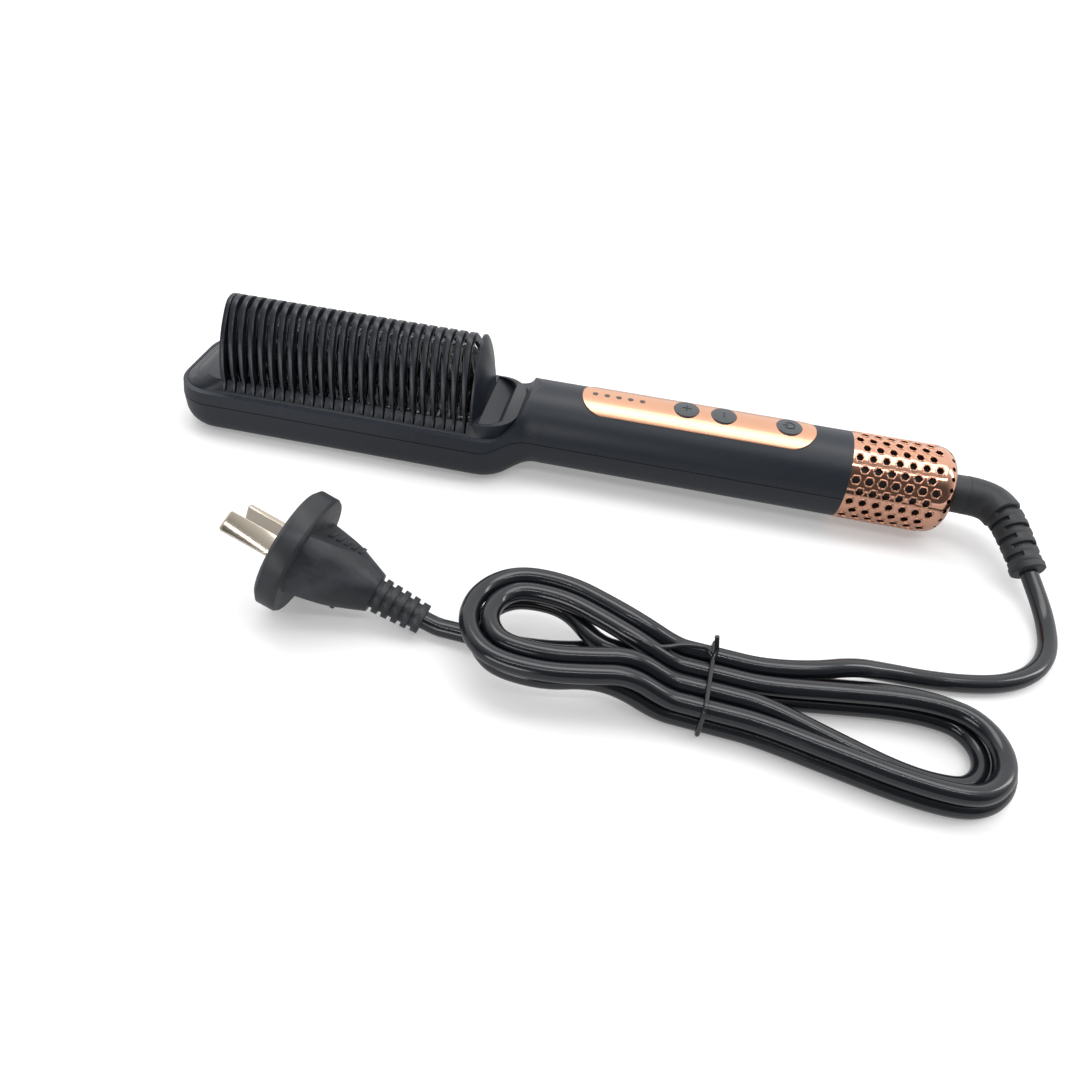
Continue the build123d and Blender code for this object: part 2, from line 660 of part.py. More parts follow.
def bend_radii(points):
    """0.45 of the shorter run beside each corner, over the tangent of half its turn."""
    radii = []
    for a, b, c in zip(points, points[1:], points[2:]):
        one = Vector(*b) - Vector(*a)
        two = Vector(*c) - Vector(*b)
        half_turn = math.radians(one.get_angle(two)) / 2
        radii.append(0.45 * min(one.length, two.length) / math.tan(half_turn))
    return radii


def heater_leads():
    """Two leads from the heater's end, outside the screw posts, up to the board."""
    x, z = heater_span()[1], heater_bottom() + HEATER_THICKNESS / 2
    neck_x, up = HEAD_END_X, BOARD_START_X + 8.5
    return [wire([(x, y, z), (x + 6, y, z), (neck_x - 14, y * 1.9, z - 1.2), (neck_x - 4, y * 2.7, z - 1.8),
                  (neck_x + 7, y * 2.8, z - 1.0), (up, y * 2.75, z + 1.5), (up, y * 2.75, BOARD_Z)], 1.6)
            for y in (-3.0, 3.0)]


def sensor_leads():
    x, z = SLOT_X[-1], GUARD_BOTTOM - BASE_THICKNESS - 1.3
    neck_x, up = HEAD_END_X, BOARD_START_X + 4.5
    return [wire([(x, y, z), (x + 4.5, y, z), (neck_x - 9, y * 4.8, z - 1.5), (neck_x - 4, y * 5.1, z - 1.8),
                  (neck_x + 5, y * 5.2, z - 1.5), (up, y * 5.5, z + 1.0), (up, y * 5.5, BOARD_Z)], 1.0)
            for y in (-0.9, 0.9)]


# Tail
def cage_profile():
    """Half of the cage's section, as (x, radius) turned round the handle's axis."""
    x0, x1, r = CAGE_X, CAGE_END_X, GRIP_RADIUS
    bend = x1 - CAGE_ROUND
    hole = COLLAR_RADIUS + 0.15
    wall = CAGE_WALL
    outer = TangentArc((bend, r), (x1, r - 3.5), tangent=(1, 0))
    rest = Polyline((x1, r - 3.5), (x1, hole), (x1 - wall, hole), (x1 - wall, r - 4.4), (bend, r - wall),
                    (x0, r - wall), (x0, r), (bend, r))
    frame = Plane(origin=(0, 0, AXIS_Z), x_dir=(1, 0, 0), z_dir=(0, -1, 0))
    return frame * make_face([outer] + rest.edges())


def hole_places():
    """Place along X and angle of each hole in the cage's side, in rows that stand between each other."""
    places = []
    for row in range(CAGE_ROWS):
        angle = 360.0 / CAGE_ROWS * row
        count, start = (7, 2.1) if row % 2 == 0 else (6, 2.1 + CAGE_PITCH / 2)
        places += [(CAGE_X + start + CAGE_PITCH * i, angle) for i in range(count)]
    return places


def perforated_cage():
    axis = Axis((0, 0, AXIS_Z), (1, 0, 0))
    body = revolve(cage_profile(), axis=axis)
    cutter = extrude(Pos(0, 0, GRIP_RADIUS - 4) * RegularPolygon(HOLE_ACROSS / 2, 6, major_radius=False), 8)
    holes = [Pos(x, 0, AXIS_Z) * Rot(angle, 0, 0) * cutter for x, angle in hole_places()]
    lean = Rot(0, 45, 0) * Pos(0, 0, -3) * Cylinder(0.8, 6, align=MID)
    holes += [Pos(0, 0, AXIS_Z) * Rot(360 / CAGE_ROWS * (i + 0.5), 0, 0) * Pos(CAGE_END_X - 2.6, 0, GRIP_RADIUS - 1.2)
              * lean for i in range(CAGE_ROWS)]
    return body - holes


def tail_core():
    """The dark sleeve inside the cage, with a flange at each end that carries the cage."""
    inner = CORE_RADIUS - CORE_WALL
    end = CAGE_END_X - CAGE_ROUND
    body = rod_x(CAGE_X - 1.6, end, CORE_RADIUS)
    body += rod_x(CAGE_X, CAGE_X + 1.0, GRIP_RADIUS - CAGE_WALL)
    body += rod_x(end - 1.0, end, GRIP_RADIUS - CAGE_WALL)
    return body - rod_x(CAGE_X - 5, CAGE_END_X, inner)


def swivel_housing():
    end = CAGE_END_X - CAGE_ROUND
    outer = CORE_RADIUS - CORE_WALL
    body = rod_x(CAGE_X + 5.6, end, outer) - rod_x(CAGE_X + 3, end - 2.0, outer - 1.9)
    return body - rod_x(CAGE_X, CAGE_END_X, HUB_RADIUS + RUNNING)


def swivel_cap():
    body = rod_x(CAGE_X + 3.6, CAGE_X + 5.6, CORE_RADIUS - CORE_WALL)
    body -= rod_x(CAGE_X, CAGE_END_X, HUB_RADIUS + RUNNING)
    for y, x in spring_places():
        body -= rod_x(CAGE_X, CAGE_END_X, 0.6, y, AXIS_Z + 6.8)
    return body


def spring_places():
    """Side and place along X of the two contact springs."""
    return [(-5.0, CAGE_X + 12.8), (5.0, CAGE_X + 18.8)]


def swivel_hub():
    end = CAGE_END_X - CAGE_ROUND
    body = rod_x(CAGE_X + 1.0, TAIL_X - 2.5, HUB_RADIUS)
    body += rod_x(end - 4.1, end - 2.0 - 2 * RUNNING, HUB_RADIUS + 2.6)
    body -= rod_x(CAGE_X, TAIL_X, 2.2)
    return body - (rod_x(CAGE_X + 2.7, CAGE_X + 3.5, 9) - rod_x(CAGE_X + 2, CAGE_X + 4, HUB_RADIUS - 0.6))


def swivel_clip():
    ring = rod_x(CAGE_X + 2.7, CAGE_X + 3.5, HUB_RADIUS + 2.0) - rod_x(CAGE_X + 2, CAGE_X + 4, HUB_RADIUS - 0.6)
    return ring - block(CAGE_X, CAGE_X + 5, -1.6, 1.6, 0, AXIS_Z)


def slip_rings():
    return [rod_x(x - 1.25, x + 1.25, HUB_RADIUS + 1.5) - rod_x(x - 2, x + 2, HUB_RADIUS)
            for y, x in spring_places()]


def contact_springs():
    """A leaf across the bore over each ring, with a pin out through the cap."""
    bore = CORE_RADIUS - CORE_WALL - 1.9
    z = AXIS_Z + HUB_RADIUS + 1.5 + RUNNING
    springs = []
    for y, x in spring_places():
        leaf = block(x - 0.8, x + 0.8, -EVERY_Y, EVERY_Y, z, z + 0.5) & rod_x(x - 2, x + 2, bore)
        springs.append(leaf + rod_x(CAGE_X + 2.1, x - 0.8, 0.6, y, AXIS_Z + 6.8))
    return springs


def mains_leads():
    top = BOARD_Z + BOARD_THICKNESS
    z = AXIS_Z + 6.8
    down = BOARD_END_X - 2.0
    return [wire([(CAGE_X + 2.1, y, z), (CAGE_X - 2.6, y, z), (BOARD_END_X + 1.8, y * 1.3, z + 1.2),
                  (down, y * 1.35, z - 0.4), (down, y * 1.35, top)], 1.6) for y in (-5.0, 5.0)]


def swivel_collar():
    body = rod_x(CAGE_END_X - 2.4, TAIL_X, COLLAR_RADIUS)
    body -= rod_x(CAGE_X, TAIL_X - 2.5, HUB_RADIUS)
    return body - rod_x(CAGE_X, TAIL_X + 1, 2.2)


# Cord
def cord_sleeve():
    """The bent strain relief: smooth where it leaves the collar, then thin rings on a tapered core."""
    path = FilletPolyline(*SLEEVE_ROUTE, radius=bend_radii(SLEEVE_ROUTE))
    body = loft([section_at(path, i / 8) * Circle(5.0 - 1.6 * i / 8) for i in range(9)])
    smooth = 0.34
    steps = [smooth * i / 4 for i in range(5)]
    body += loft([section_at(path, u) * Circle(COLLAR_RADIUS - 0.4 * u / smooth) for u in steps])
    rings = 7
    for k in range(rings):
        u = smooth + (0.97 - smooth) * (k + 0.75) / rings
        radius = COLLAR_RADIUS - 0.4 - 1.2 * (k + 1) / rings
        body += section_at(path, u) * Cylinder(radius, 2.0)
    return body


def section_at(path, u):
    return Plane(origin=path @ u, x_dir=(0, 0, 1), z_dir=path % u)


def cord_lead():
    return wire(lead_route(), CORD_DIAMETER)


def lead_route():
    """The free stretch from the sleeve, lined up with the hank's first pass where it meets it."""
    x, y, z = hank_start()
    return LEAD_ROUTE + [tuple(hank_frame(x + 8.0, y, z)), tuple(hank_frame(x, y, z))]


def hank_start():
    return WAIST_HALF + 18.0, LANE_STEP * 1.5 + 3.5, LOW_LAYER + LAYER_STEP


def hank_frame(x, y, z):
    """A point of the hank's own frame, with the tie at its middle, in the brush's frame."""
    turn = math.radians(HANK_TURN)
    return Vector(WAIST[0] + x * math.cos(turn) - y * math.sin(turn),
                  WAIST[1] + x * math.sin(turn) + y * math.cos(turn), z)


def bend_across(start, end, heading):
    """Two equal arcs from start to end that leave and arrive along the same heading."""
    a, b = hank_frame(*start), hank_frame(*end)
    direction = hank_frame(heading, 0, 0) - hank_frame(0, 0, 0)
    middle = (a + b) * 0.5
    return [TangentArc(a, middle, tangent=direction), TangentArc(b, middle, tangent=-direction)]


def straight(start, end):
    return [Line(hank_frame(*start), hank_frame(*end))]


def half_turn(x, y_from, y_to, z, heading):
    """A half circle at an end of the hank, as two quarters."""
    r = abs(y_from - y_to) / 2
    mid = (y_from + y_to) / 2
    diagonal = r * math.sqrt(0.5)
    side = 1 if y_from > mid else -1
    tip = (x + heading * r, mid, z)
    return [ThreePointArc(hank_frame(x, y_from, z), hank_frame(x + heading * diagonal, mid + side * diagonal, z),
                          hank_frame(*tip)),
            ThreePointArc(hank_frame(*tip), hank_frame(x + heading * diagonal, mid - side * diagonal, z),
                          hank_frame(x, y_to, z))]


def left_run(end, waist, outward):
    """From the waist to the left end, or back: the height changes first, then the lane.

    Lower passes climb a little further out, and inner ones fan out later, so that none comes too near.
    """
    climb = -WAIST_HALF - (HANK_STAGGER if waist[1] == LOW_LAYER else 0.0)
    fan = HANK_STAGGER if abs(waist[0]) < LANE_STEP else 0.0
    places = [(-WAIST_HALF, *waist), (climb, *waist), (climb - HANK_RISE, waist[0], end[1]),
              (climb - HANK_RISE - fan, waist[0], end[1]), (-HANK_LEFT + HANK_STAGGER - fan, *end),
              (-HANK_LEFT, *end)]
    if not outward:
        places.reverse()
    edges = []
    for start, finish in zip(places, places[1:]):
        if start[1:] == finish[1:]:
            edges += straight(start, finish) if start != finish else []
        else:
            edges += bend_across(start, finish, -1 if outward else 1)
    return edges


def hank_edges():
    """Seven passes through the tie: four over three, joined by three half turns at each end."""
    low, high = LOW_LAYER, LOW_LAYER + LAYER_STEP
    highest = high + LAYER_STEP
    near, far = LANE_STEP / 2, LANE_STEP * 1.5
    wide, tight, middle = OUTER_TURN, INNER_TURN, MIDDLE_TURN
    shift = TURN_SHIFT
    w = WAIST_HALF
    right = HANK_RIGHT
    edges = bend_across(hank_start(), (w, far, high), -1)
    edges += straight((w, far, high), (-w, far, high))
    edges += left_run((wide + shift, highest), (far, high), True)
    edges += half_turn(-HANK_LEFT, wide + shift, shift - wide, highest, -1)
    edges += left_run((shift - wide, highest), (-far, high), False)
    edges += straight((-w, -far, high), (w, -far, high))
    edges += bend_across((w, -far, high), (right, shift - wide, high), 1)
    edges += half_turn(right, shift - wide, tight + shift, high, 1)
    edges += bend_across((right, tight + shift, high), (w, near, high), -1)
    edges += straight((w, near, high), (-w, near, high))
    edges += left_run((tight + shift, highest), (near, high), True)
    edges += half_turn(-HANK_LEFT, tight + shift, shift - tight, highest, -1)
    edges += left_run((shift - tight, highest), (-near, high), False)
    edges += straight((-w, -near, high), (w, -near, high))
    edges += bend_across((w, -near, high), (right, shift - tight, low), 1)
    edges += half_turn(right, shift - tight, tight + shift, low, 1)
    edges += bend_across((right, tight + shift, low), (w, near, low), -1)
    edges += straight((w, near, low), (-w, near, low))
    edges += left_run((middle, high), (near, low), True)
    edges += half_turn(-HANK_LEFT, middle, -middle, high, -1)
    edges += left_run((-middle, high), (-far, low), False)
    edges += straight((-w, -far, low), (w, -far, low))
    edges += bend_across((w, -far, low), (right, shift - wide, low), 1)
    edges += half_turn(right, shift - wide, wide + shift, low, 1)
    edges += bend_across((right, wide + shift, low), (w, far, low), -1)
    rise = -w - HANK_RISE
    edges += straight((w, far, low), (rise, far, low))
    edges += bend_across((rise, far, low), (-HANK_LEFT, 0, low), -1)
    edges += straight((-HANK_LEFT, 0, low), (-HANK_LEFT - 18, 0, low))
    return edges


def cord_hank():
    path = Wire(hank_edges())
    start = Plane(origin=path @ 0, z_dir=path % 0)
    return sweep(start * Circle(CORD_DIAMETER / 2), path=path)


def hank_gap():
    """Least gap of the hank to itself, measured on points along its middle line."""
    path = Wire(hank_edges())
    count = round(path.length / 1.5)
    points = [tuple(path @ (i / count)) for i in range(count + 1)]
    skip = math.ceil(3 * CORD_DIAMETER / 1.5)
    least = min(math.dist(p, q) for i, p in enumerate(points) for q in points[i + skip:])
    return least - CORD_DIAMETER


def plug_place():
    """The plug's frame: its local x runs from the cord to the blades, raised so that the disc touches z = 0."""
    tilt = math.radians(PLUG_TILT)
    z = PLUG_RADIUS * math.cos(tilt) - (PLUG_RELIEF + PLUG_TAPER) * math.sin(tilt)
    x, y = plug_cord_end()
    return Location((x, y, z)) * Location((0, 0, 0), (0, 0, PLUG_TURN)) * Location((0, 0, 0), (0, -PLUG_TILT, 0))


def plug_cord_end():
    end = hank_frame(-HANK_LEFT - 18, 0, 0)
    return end.X - 13.0, end.Y + 0.9


def plug_lead_route():
    start = hank_frame(-HANK_LEFT - 18, 0, LOW_LAYER)
    place = plug_place()
    end = place.position
    back = (place * Location((-4.4, 0, 0))).position
    middle = hank_frame(-HANK_LEFT - 18 - 4.6, 0.02, LOW_LAYER)
    return [tuple(start), tuple(middle), tuple(back), tuple(end)]


def cord_plug_lead():
    return wire(plug_lead_route(), CORD_DIAMETER)


def turned(points):
    """A body of revolution about the local x axis from (x, radius) points."""
    face = make_face(Polyline((points[0][0], 0), *points, (points[-1][0], 0), close=True))
    return revolve(Plane.XZ * face, axis=Axis.X)


def plug_body():
    a, b = PLUG_RELIEF, PLUG_RELIEF + PLUG_TAPER
    body = turned([(0, 4.6), (2.2, 4.6), (2.2, 3.7), (a, 4.4), (a, 6.0), (a + 3, 7.2), (b, 14.6),
                   (b, PLUG_RADIUS - 0.6), (b + 0.8, PLUG_RADIUS), (b + PLUG_DISC - 1.2, PLUG_RADIUS),
                   (b + PLUG_DISC, PLUG_RADIUS - 1.4)])
    for k in range(4):
        x = 3.6 + 3.1 * k
        body += turned([(x, 4.9 + 0.15 * k), (x + 1.7, 5.0 + 0.15 * k)])
    for side in (-1, 1):
        body -= Rot(PLUG_ROLL, 0, 0) * Pos((a + b) / 2, 0, side * 14.0) * Box(PLUG_TAPER, 40, 10)
        body += [Rot(PLUG_ROLL, 0, 0) * Pos(a + 9 + 2.4 * k, 0, side * 9.0) * Box(1.1, 6, 1.0) for k in range(5)]
    body -= rod_x(b + 1.5, b + PLUG_DISC + 1, 12.0, 0, 0)
    return plug_place() * body


def blade_spots():
    return [(side * BLADE_SPREAD, side * 30.0) for side in (-1, 1)]


def blade(y, angle):
    b = PLUG_RELIEF + PLUG_TAPER
    flat = Box(BLADE_LENGTH + 4, BLADE_THICKNESS, BLADE_WIDTH)
    place = Rot(PLUG_ROLL, 0, 0) * Pos(b + PLUG_DISC + BLADE_LENGTH / 2 - 2, y, 0) * Rot(angle, 0, 0)
    return place * chamfer(flat.faces().sort_by(Axis.X)[-1].edges(), 0.6)


def plug_blades():
    return [plug_place() * blade(y, angle) for y, angle in blade_spots()]


def plug_insert():
    b = PLUG_RELIEF + PLUG_TAPER
    body = rod_x(b + 1.5, b + PLUG_DISC, 12.0, 0, 0)
    for y, angle in blade_spots():
        body -= blade(y, angle)
    return plug_place() * body


def twist_tie():
    """A wire round the hank's waist, with its two ends twisted together on top."""
    d = 1.3
    half = LANE_STEP * 1.5 + CORD_DIAMETER / 2 + d / 2 - 0.05
    z0 = d / 2 + 0.02
    z1 = LOW_LAYER + LAYER_STEP + CORD_DIAMETER / 2 + d / 2 - 0.05
    corners = [hank_frame(0, y, z) for y, z in ((half, z0), (half, z1), (-half, z1), (-half, z0))]
    loop = FilletPolyline(*corners, radius=2.4, close=True)
    start = Plane(origin=loop @ 0, z_dir=loop % 0)
    body = sweep(start * Circle(d / 2), path=loop)
    tail = [hank_frame(0, 6, z1), hank_frame(-2, 7.5, z1 + 1.6), hank_frame(-8, 6.5, z1 + 1.9),
            hank_frame(-15, 3, z1 + 1.7), hank_frame(-22, 3.5, z1 + 1.5)]
    body += wire([tuple(p) for p in tail], 1.4)
    stub = [hank_frame(0, 5, z1), hank_frame(0.5, 6.5, z1 + 2.2), hank_frame(-0.5, 7.5, z1 + 7)]
    return body + wire([tuple(p) for p in stub], 1.3)


def parts():
    outer, middle, inner = housing(0), housing(WALL / 2), housing(WALL)
    wall, inner_wall = outer - middle, middle - inner
    made = {
        "back_shell": back_shell(wall, inner_wall, middle),
        "front_shell": front_shell(wall, inner_wall, middle),
        "comb_guard": comb_guard(),
        "heating_comb": heating_comb(),
        "ptc_heater": ptc_heater(),
        "heater_insulator": heater_insulator(),
        "heater_clamp": heater_clamp(),
        "heat_shield": heat_shield(),
        "thermistor": thermistor(),
        "thermal_fuse": thermal_fuse(),
        "guard_screws": guard_screws(),
        "shell_screws": shell_screws(),
        "board_screws": board_screws(),
        "control_panel": control_panel(),
        "tact_switches": tact_switches(),
        "leds": leds(),
        "light_guide": light_guide(),
        "circuit_board": circuit_board(),
        "control_chip": control_chip(),
        "triac": triac(),
        "film_capacitor": film_capacitor(),
        "heater_leads": heater_leads(),
        "sensor_leads": sensor_leads(),
        "mains_leads": mains_leads(),
        "perforated_cage": perforated_cage(),
        "tail_core": tail_core(),
        "swivel_housing": swivel_housing(),
        "swivel_cap": swivel_cap(),
        "swivel_hub": swivel_hub(),
        "swivel_clip": swivel_clip(),
        "slip_rings": slip_rings(),
        "contact_springs": contact_springs(),
        "swivel_collar": swivel_collar(),
        "cord_sleeve": cord_sleeve(),
        "cord_lead": cord_lead(),
        "cord_hank": cord_hank(),
        "cord_plug_lead": cord_plug_lead(),
        "twist_tie": twist_tie(),
        "plug_body": plug_body(),
        "plug_blades": plug_blades(),
        "plug_insert": plug_insert(),
    }
    for name, x in button_places().items():
        made[name + "_button"] = button(x)
        made[name + "_stem"] = stem(x)
    return made


def main():
    os.makedirs("parts", exist_ok=True)
    for name, shape in parts().items():
        solids = shape if isinstance(shape, list) else [shape]
        solids = [s for item in solids for s in item.solids()]
        export_step(solids[0] if len(solids) == 1 else Compound(solids), f"parts/{name}.step")
        print(name, len(solids), round(sum(s.volume for s in solids)))
    section = math.pi * CORD_DIAMETER ** 2 / 4
    for name, route in (("cord_lead", lead_route()), ("cord_plug_lead", plug_lead_route())):
        path = FilletPolyline(*route, radius=bend_radii(route))
        print(name, "radii", [round(r, 1) for r in bend_radii(route)], "section x length", round(section * path.length))
    hank = sum(edge.length for edge in hank_edges())
    print("hank length", round(hank), "section x length", round(section * hank), "least gap", round(hank_gap(), 2))


if __name__ == "__main__":
    main()
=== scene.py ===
"""The look of a hair straightening brush that lies on its back, comb up, beside its folded cord."""
import json
import math

import bmesh
import bpy
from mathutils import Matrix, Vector

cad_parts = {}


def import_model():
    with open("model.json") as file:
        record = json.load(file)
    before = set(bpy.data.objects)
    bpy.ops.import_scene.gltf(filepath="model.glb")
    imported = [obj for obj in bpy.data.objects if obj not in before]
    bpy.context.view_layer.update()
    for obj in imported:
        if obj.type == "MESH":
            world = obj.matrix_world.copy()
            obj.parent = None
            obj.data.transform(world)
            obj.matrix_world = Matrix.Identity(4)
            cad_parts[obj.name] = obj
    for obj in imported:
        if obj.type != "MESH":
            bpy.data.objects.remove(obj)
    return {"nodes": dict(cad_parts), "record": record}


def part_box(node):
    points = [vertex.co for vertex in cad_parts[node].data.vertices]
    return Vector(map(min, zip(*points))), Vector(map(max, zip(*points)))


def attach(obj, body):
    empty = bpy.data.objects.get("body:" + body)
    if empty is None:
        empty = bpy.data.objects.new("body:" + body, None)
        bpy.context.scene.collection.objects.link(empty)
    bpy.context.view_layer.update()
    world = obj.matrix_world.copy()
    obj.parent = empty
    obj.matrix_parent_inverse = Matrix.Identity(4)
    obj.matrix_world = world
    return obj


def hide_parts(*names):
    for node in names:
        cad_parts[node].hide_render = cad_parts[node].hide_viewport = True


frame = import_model()

MM = 0.001

# Handle and cage, as in the solids
AXIS_Z = 16.0 * MM
GRIP_RADIUS = 15.0 * MM
CAGE_X = 99.65 * MM
CAGE_ROWS = 24
CAGE_PITCH = 4.34 * MM
HOLES_IN_ROW = 7
FIRST_HOLE = 2.1 * MM
HOLE_ACROSS = 2.3 * MM

# Beads round the cage's holes: how far outside the hole, their radius, and how deep in the cage's surface
RIM_OUTSET = 0.36 * MM
RIM_BEAD = 0.28 * MM
RIM_SINK = 0.08 * MM

# Cord and hank, as in the solids. The loops' outside points are TURN_STEP degrees apart
CORD_DIAMETER = 5.5 * MM
LANE_STEP = 6.3 * MM
LAYER_STEP = 6.0 * MM
LOW_LAYER = 3.55 * MM
WAIST = (59.9 * MM, -98.6 * MM)
HANK_TURN = math.radians(-3.4)
LEFT_END = -52.0 * MM
RIGHT_END = 64.0 * MM
OUTER_TURN = 16.6 * MM
MIDDLE_TURN = 13.6 * MM
INNER_TURN = 10.6 * MM
TURN_SHIFT = 1.0 * MM
TURN_STEP = 30

# Control points of the cord's other runs, in millimetres
SLEEVE_ROUTE = [(141.75, 0.0, 16.0), (149.0, 0.0, 16.0), (153.9, -6.1, 15.4), (157.5, -16.1, 12.6),
                (160.7, -26.6, 8.8)]
LEAD_ROUTE = [(160.7, -26.6, 8.8), (163.15, -34.6, 5.9), (164.6, -43.6, 3.4), (163.15, -54.5, 2.75),
              (157.4, -64.4, 2.75), (148.1, -71.2, 2.75), (136.4, -74.6, 2.75), (123.7, -76.1, 2.75),
              (111.2, -77.9, 4.6), (100.5, -82.3, 9.0)]
PLUG_LEAD = [(-14.57, -94.16, 3.55), (-18.85, -94.05, 3.53), (-22.98, -93.55, 4.97)]

# Strain relief, in millimetres but for the shares of its length
SMOOTH_SHARE = 0.4
SMOOTH_STEPS = (0.0, 0.1, 0.2, 0.3, 0.4, 0.5, 0.6, 0.7, 0.8, 0.9, 0.97)
ROOT_RADIUS = 6.7
ROOT_TAPER = 0.35
NECK_RADIUS = 6.0
RING_COUNT = 6
RING_RADIUS = 5.75
RING_TAPER = 0.12
RING_DISH = 0.02
RING_EDGE = 0.12
CHAMFER_START = 0.25
CHAMFER_END = 0.08
GAP_SHARE = 0.44
FLANGE_LENGTH = 2.6
# Each ring of the flange: its distance from the end and its radius
FLANGE_RINGS = ((2.5, 5.3), (2.2, 5.5), (0.5, 5.4), (0.1, 4.9))
CORE_RADIUS = 5.0
CORE_TAPER = 1.3
WEB_COSINE = 0.86
SLEEVE_SIDES = 72

# Slope at the guard's tip: corner radius, half width, end and height at its foot, and their change up to
# its top, in millimetres
SLOPE_FOOT = (12.0, 19.3, -139.85, 17.72)
SLOPE_CHANGE = (-2.0, -2.7, 7.7, 3.9)
SLOPE_SHARES = (0.25, 0.35, 0.45, 0.55)
SKIN_WALL = 0.3 * MM

# Signs on the buttons, in millimetres, with the power sign's arc in degrees
SIGN_REACH = 1.5
POWER_RADIUS = 1.75
POWER_ARC = range(215, 505, 10)
POWER_BAR = (-2.3, -0.5)
DOME_RADIUS = 22.0
STROKE_RADIUS = 0.21

# Rounding of CAD pieces: each piece's edge radius and slot
ROUNDED = {"heating_comb": (0.35 * MM, "comb_coating"), "comb_guard": (0.2 * MM, "guard_plastic"),
           "plug_blades": (0.3 * MM, "blade_metal"), "plug_body": (0.4 * MM, "plug_moulding")}
MERGE_WITHIN = 0.002 * MM
FLAT_WITHIN = math.radians(1.0)
ROUND_FROM = math.radians(32.0)

# Camera, turned in degrees, and floor
LENS = 27.2927
SENSOR_WIDTH = 36.0
CAMERA_PLACE = (0.03115, -0.24527, 0.18769)
CAMERA_TURN = (46.9771, -3.7822, 11.7414)
FLOOR_REACH = 4
FLOOR_DROP = 0.05 * MM

# Sockets of the colour Mix node
MIX_FIRST, MIX_SECOND, MIX_RESULT = 6, 7, 2


# Node trees
class Value:
    """One output of a node. Arithmetic on it adds Math nodes to its tree."""

    def __init__(self, tree, socket):
        self.tree = tree
        self.socket = socket

    def maths(self, operation, *values):
        return self.tree.add("ShaderNodeMath", {"operation": operation}, dict(enumerate(values)))

    def __add__(self, other):
        return self.maths("ADD", self, other)

    def __radd__(self, other):
        return self.maths("ADD", other, self)

    def __sub__(self, other):
        return self.maths("SUBTRACT", self, other)

    def __rsub__(self, other):
        return self.maths("SUBTRACT", other, self)

    def __mul__(self, other):
        return self.maths("MULTIPLY", self, other)

    def __rmul__(self, other):
        return self.maths("MULTIPLY", other, self)

    def __truediv__(self, other):
        return self.maths("DIVIDE", self, other)

    def __mod__(self, other):
        return self.maths("FLOORED_MODULO", self, other)

    def __gt__(self, other):
        return self.maths("GREATER_THAN", self, other)

    def __lt__(self, other):
        return self.maths("LESS_THAN", self, other)


class Tree:
    """A node tree that is built one node at a time."""

    def __init__(self, tree):
        self.tree = tree

    def add(self, kind, settings=None, sockets=None, output=0):
        """Make a node from its type, its settings and the values or links of its sockets."""
        node = self.tree.nodes.new(kind)
        for name, value in (settings or {}).items():
            setattr(node, name, value)
        for name, value in (sockets or {}).items():
            if isinstance(value, Value):
                self.tree.links.new(value.socket, node.inputs[name])
            else:
                node.inputs[name].default_value = value
        return Value(self, node.outputs[output]) if node.outputs else None

    def add_parts(self, kind, parts, sockets=None):
        """Make a node and return several of its outputs by name."""
        outputs = self.add(kind, {}, sockets).socket.node.outputs
        return [Value(self, outputs[part]) for part in parts]


def opaque(colour):
    return colour if isinstance(colour, Value) else (*colour, 1.0)


def toned(colour, share, lift=0.0):
    return [c * share + lift for c in colour]


class Finish(Tree):
    """A material on Object coordinates."""

    def __init__(self, name):
        self.material = bpy.data.materials.new(name)
        self.material.use_nodes = True
        super().__init__(self.material.node_tree)
        self.tree.nodes.clear()
        self.place = self.add("ShaderNodeTexCoord", output="Object")

    def stretched(self, stretch):
        return self.add("ShaderNodeMapping", {}, {"Vector": self.place, "Scale": stretch})

    def noise(self, scale, detail=2.0, stretch=(1.0, 1.0, 1.0)):
        at = self.stretched(stretch)
        return self.add("ShaderNodeTexNoise", {}, {"Vector": at, "Scale": scale, "Detail": detail})

    def cell_edges(self, scale, stretch):
        sockets = {"Vector": self.stretched(stretch), "Scale": scale}
        return self.add("ShaderNodeTexVoronoi", {"feature": "DISTANCE_TO_EDGE"}, sockets)

    def ramp(self, value, start, end, low=0.0, high=1.0):
        limits = {"From Min": start, "From Max": end, "To Min": low, "To Max": high}
        return self.add("ShaderNodeMapRange", {}, {"Value": value, **limits})

    def colours(self, share, low, high):
        ends = {MIX_FIRST: opaque(low), MIX_SECOND: opaque(high)}
        return self.add("ShaderNodeMix", {"data_type": "RGBA"}, {0: share, **ends}, MIX_RESULT)

    def bump(self, height, strength, distance):
        sockets = {"Strength": strength, "Distance": distance, "Height": height}
        return self.add("ShaderNodeBump", {}, sockets)

    def close(self, colour, roughness, **others):
        sockets = {name.replace("_", " "): value for name, value in others.items()}
        sockets.update({"Base Color": opaque(colour), "Roughness": roughness})
        shader = self.add("ShaderNodeBsdfPrincipled", {}, sockets)
        self.add("ShaderNodeOutputMaterial", {}, {"Surface": shader})
        return self.material


# Finishes
def moulded(name, colour, roughness, grain=1600.0):
    """Moulded plastic: spark-eroded grain, a slow change of shade, rubbed patches and a little dust."""
    finish = Finish(name)
    grit = finish.noise(grain, 2.0)
    body = finish.colours(finish.noise(45.0, 3.0), toned(colour, 0.88), toned(colour, 1.12))
    dust = (finish.noise(620.0, 3.0) > 0.69) * 0.3
    shade = finish.colours(dust, body, toned(colour, 1.6, 0.03))
    rubbed = roughness - 0.05 + 0.1 * finish.noise(70.0, 4.0) + 0.1 * dust
    return finish.close(shade, rubbed, Normal=finish.bump(grit, 0.25, 0.05 * MM))


